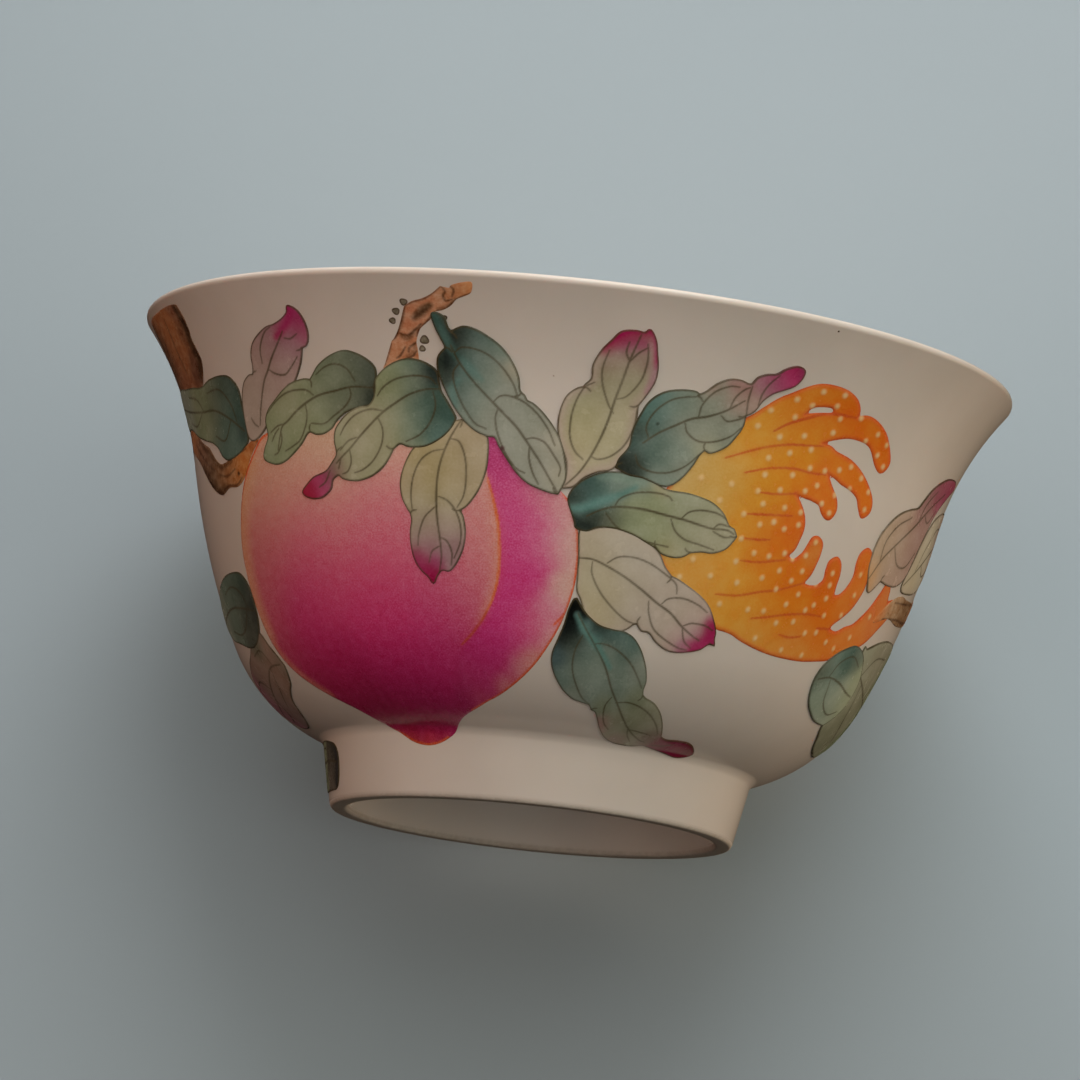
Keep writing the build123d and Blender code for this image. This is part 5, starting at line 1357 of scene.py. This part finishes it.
# ---- painting -------------------------------------------------------------
# Brush wash and grain, each as (features per mm, strength); range of roughness; bump.
ENAMELS = {
    "leaf_enamel": ((0.35, 0.16), (3.2, 0.07), (0.16, 0.30), 0.25),
    "peach_enamel": ((0.9, 0.12), (4.6, 0.34), (0.20, 0.32), 0.35),
    "citron_enamel": ((0.5, 0.14), (3.6, 0.10), (0.18, 0.30), 0.25),
    "pomegranate_enamel": ((0.6, 0.16), (4.0, 0.22), (0.18, 0.30), 0.3),
    "branch_enamel": ((1.1, 0.34), (3.4, 0.2), (0.22, 0.38), 0.4),
}
enamels = {name: enamel(name, *look) for name, look in ENAMELS.items()}

paint("peach", PEACH, "peach_enamel")
paint("citron", CITRON, "citron_enamel")
paint("pomegranate", POMEGRANATE, "pomegranate_enamel")
CROWN["strokes"] = [("brick", 0.24, 0.8, CROWN["lines"])]
paint("pomegranate_crown", CROWN, "pomegranate_enamel")
for name, spec in BRANCHES.items():
    spec["strokes"] = [("bark_ink", 0.26, 0.75, spec["lines"])]
    paint(name, spec, "branch_enamel")
for name, spec in LEAVES.items():
    spec["strokes"] = [("ink", 0.22, 0.82, spec["lines"] + hooks(spec))]
    spec["ink"] = ("ink", 0.055)
    paint(name, spec, "leaf_enamel")


def blot(azimuth, height, radius):
    """A round, slightly lumpy outline."""
    turns = np.linspace(0, 2 * math.pi, 14, endpoint=False)
    sizes = radius * (1 + 0.12 * np.sin(turns * 3 + azimuth))
    return [
        (azimuth + r * math.cos(t) / DEGREE, height + r * math.sin(t))
        for t, r in zip(turns, sizes)
    ]


def paint_blots(name, blots, colours, **look):
    """Small marks that the CAD leaves out."""
    tints = [(*at[:2], colour) for at, colour in zip(blots, colours)]
    spec = dict(loops=[blot(*at) for at in blots], tints=tints, **look)
    paint(name, spec, "branch_enamel", is_extra=True)


paint_blots("lichen", LICHEN, ["lichen"] * len(LICHEN), step=0.07, ink=("bark_ink", 0.03))
paint_blots("kiln_specks", KILN_SPECKS, ["umber", "rosebeige"], step=0.03)

# ---- floor ----------------------------------------------------------------
# The bowl lies on its lip and belly: the floor touches both, on the far side.
LEAN = 0.372                # how far it comes forward for its height
TOUCHING = (0.050, 0.0545)  # (Y, Z) of the lip's far edge
SPAN = 2.2                  # half its size

floor_mesh = bpy.data.meshes.new("floor")
corners = [
    (x, TOUCHING[0] - LEAN * (TOUCHING[1] - z), z)
    for x, z in ((-SPAN, -SPAN), (SPAN, -SPAN), (SPAN, SPAN), (-SPAN, SPAN))
]
floor_mesh.from_pydata(corners, [], [(0, 1, 2, 3)])
floor = bpy.data.objects.new("floor", floor_mesh)
bpy.context.scene.collection.objects.link(floor)
floor.data.materials.append(floor_material())
floor.visible_shadow = False
floor.visible_diffuse = False
floor.visible_glossy = False

# ---- camera ---------------------------------------------------------------
# Fitted to the lip, the sides and the foot in the photograph.
PAN, TILT, ROLL = -0.16, 9.006, 6.02    # degrees
STAND = (0, -0.84655, -0.10095)
LENS, SENSOR = 249.08, 36


def swing(first, second, degrees):
    """Turn one axis of the view towards another."""
    a = math.radians(degrees)
    return (
        first * math.cos(a) + second * math.sin(a),
        second * math.cos(a) - first * math.sin(a),
    )


forward, right, up = Vector((0, 1, 0)), Vector((1, 0, 0)), Vector((0, 0, 1))
forward, right = swing(forward, right, PAN)
forward, up = swing(forward, up, TILT)
right, up = swing(right, up, ROLL)
camera = bpy.data.objects.new("camera", bpy.data.cameras.new("camera"))
bpy.context.scene.collection.objects.link(camera)
camera.data.sensor_width = SENSOR
camera.data.lens = LENS
camera.data.clip_start, camera.data.clip_end = 0.02, 20
turned = Matrix((right, up, -forward)).transposed().to_4x4()
camera.matrix_world = Matrix.Translation(STAND) @ turned
bpy.context.scene.camera = camera

# ---- light ----------------------------------------------------------------
AIM = Vector((0, 0, 0.03))
LIGHTS = {      # direction, distance, size, brightness of a white surface facing it, colour
    "window": ((0.10, -0.42, 0.90), 0.55, 0.40, 0.60, (1.0, 0.97, 0.93)),
    "front": ((0.12, -0.96, 0.16), 1.0, 1.2, 0.55, (1.0, 0.955, 0.86)),
    "left": ((-0.90, -0.38, 0.06), 1.0, 0.8, 0.23, (1.0, 0.60, 0.43)),
    "right": ((0.95, -0.22, 0.06), 1.0, 0.8, 0.23, (1.0, 0.81, 0.58)),
    "edge": ((0.76, 0.62, 0.0), 0.9, 0.5, 0.34, (1.0, 0.76, 0.55)),
    "back": ((-0.20, 0.80, 0.58), 1.1, 0.9, 0.90, (1.0, 0.97, 0.93)),
    "sky": ((-0.22, 0.30, 0.93), 0.9, 0.6, 0.45, (0.97, 1.0, 1.0)),
}
MIRRORED = "window"         # the others are too big and near to be seen in the glaze

for name, (direction, distance, size, value, colour) in LIGHTS.items():
    towards = Vector(direction).normalized()
    data = bpy.data.lights.new(name, "AREA")
    data.shape, data.size = "SQUARE", size
    data.energy = value * math.pi**2 * distance**2
    data.color = colour
    light = bpy.data.objects.new(name, data)
    light.location = AIM + towards * distance
    light.rotation_euler = towards.to_track_quat("Z", "Y").to_euler()
    light.visible_glossy = name == MIRRORED
    bpy.context.scene.collection.objects.link(light)

# A dim even light, and behind everything a pale backdrop that only the camera sees.
world = bpy.data.worlds.new("studio")
bpy.context.scene.world = world
world.use_nodes = True
nodes, links = world.node_tree.nodes, world.node_tree.links
ambient = nodes["Background"]
ambient.inputs["Color"].default_value = (1.0, 0.90, 0.80, 1)
ambient.inputs["Strength"].default_value = 0.012
backdrop = nodes.new("ShaderNodeBackground")
backdrop.inputs["Color"].default_value = (0.52, 0.56, 0.58, 1)
seen = nodes.new("ShaderNodeMixShader")
links.new(nodes.new("ShaderNodeLightPath").outputs["Is Camera Ray"], seen.inputs[0])
links.new(ambient.outputs[0], seen.inputs[1])
links.new(backdrop.outputs[0], seen.inputs[2])
links.new(seen.outputs[0], nodes["World Output"].inputs["Surface"])
bpy.context.scene.view_settings.view_transform = "Standard"
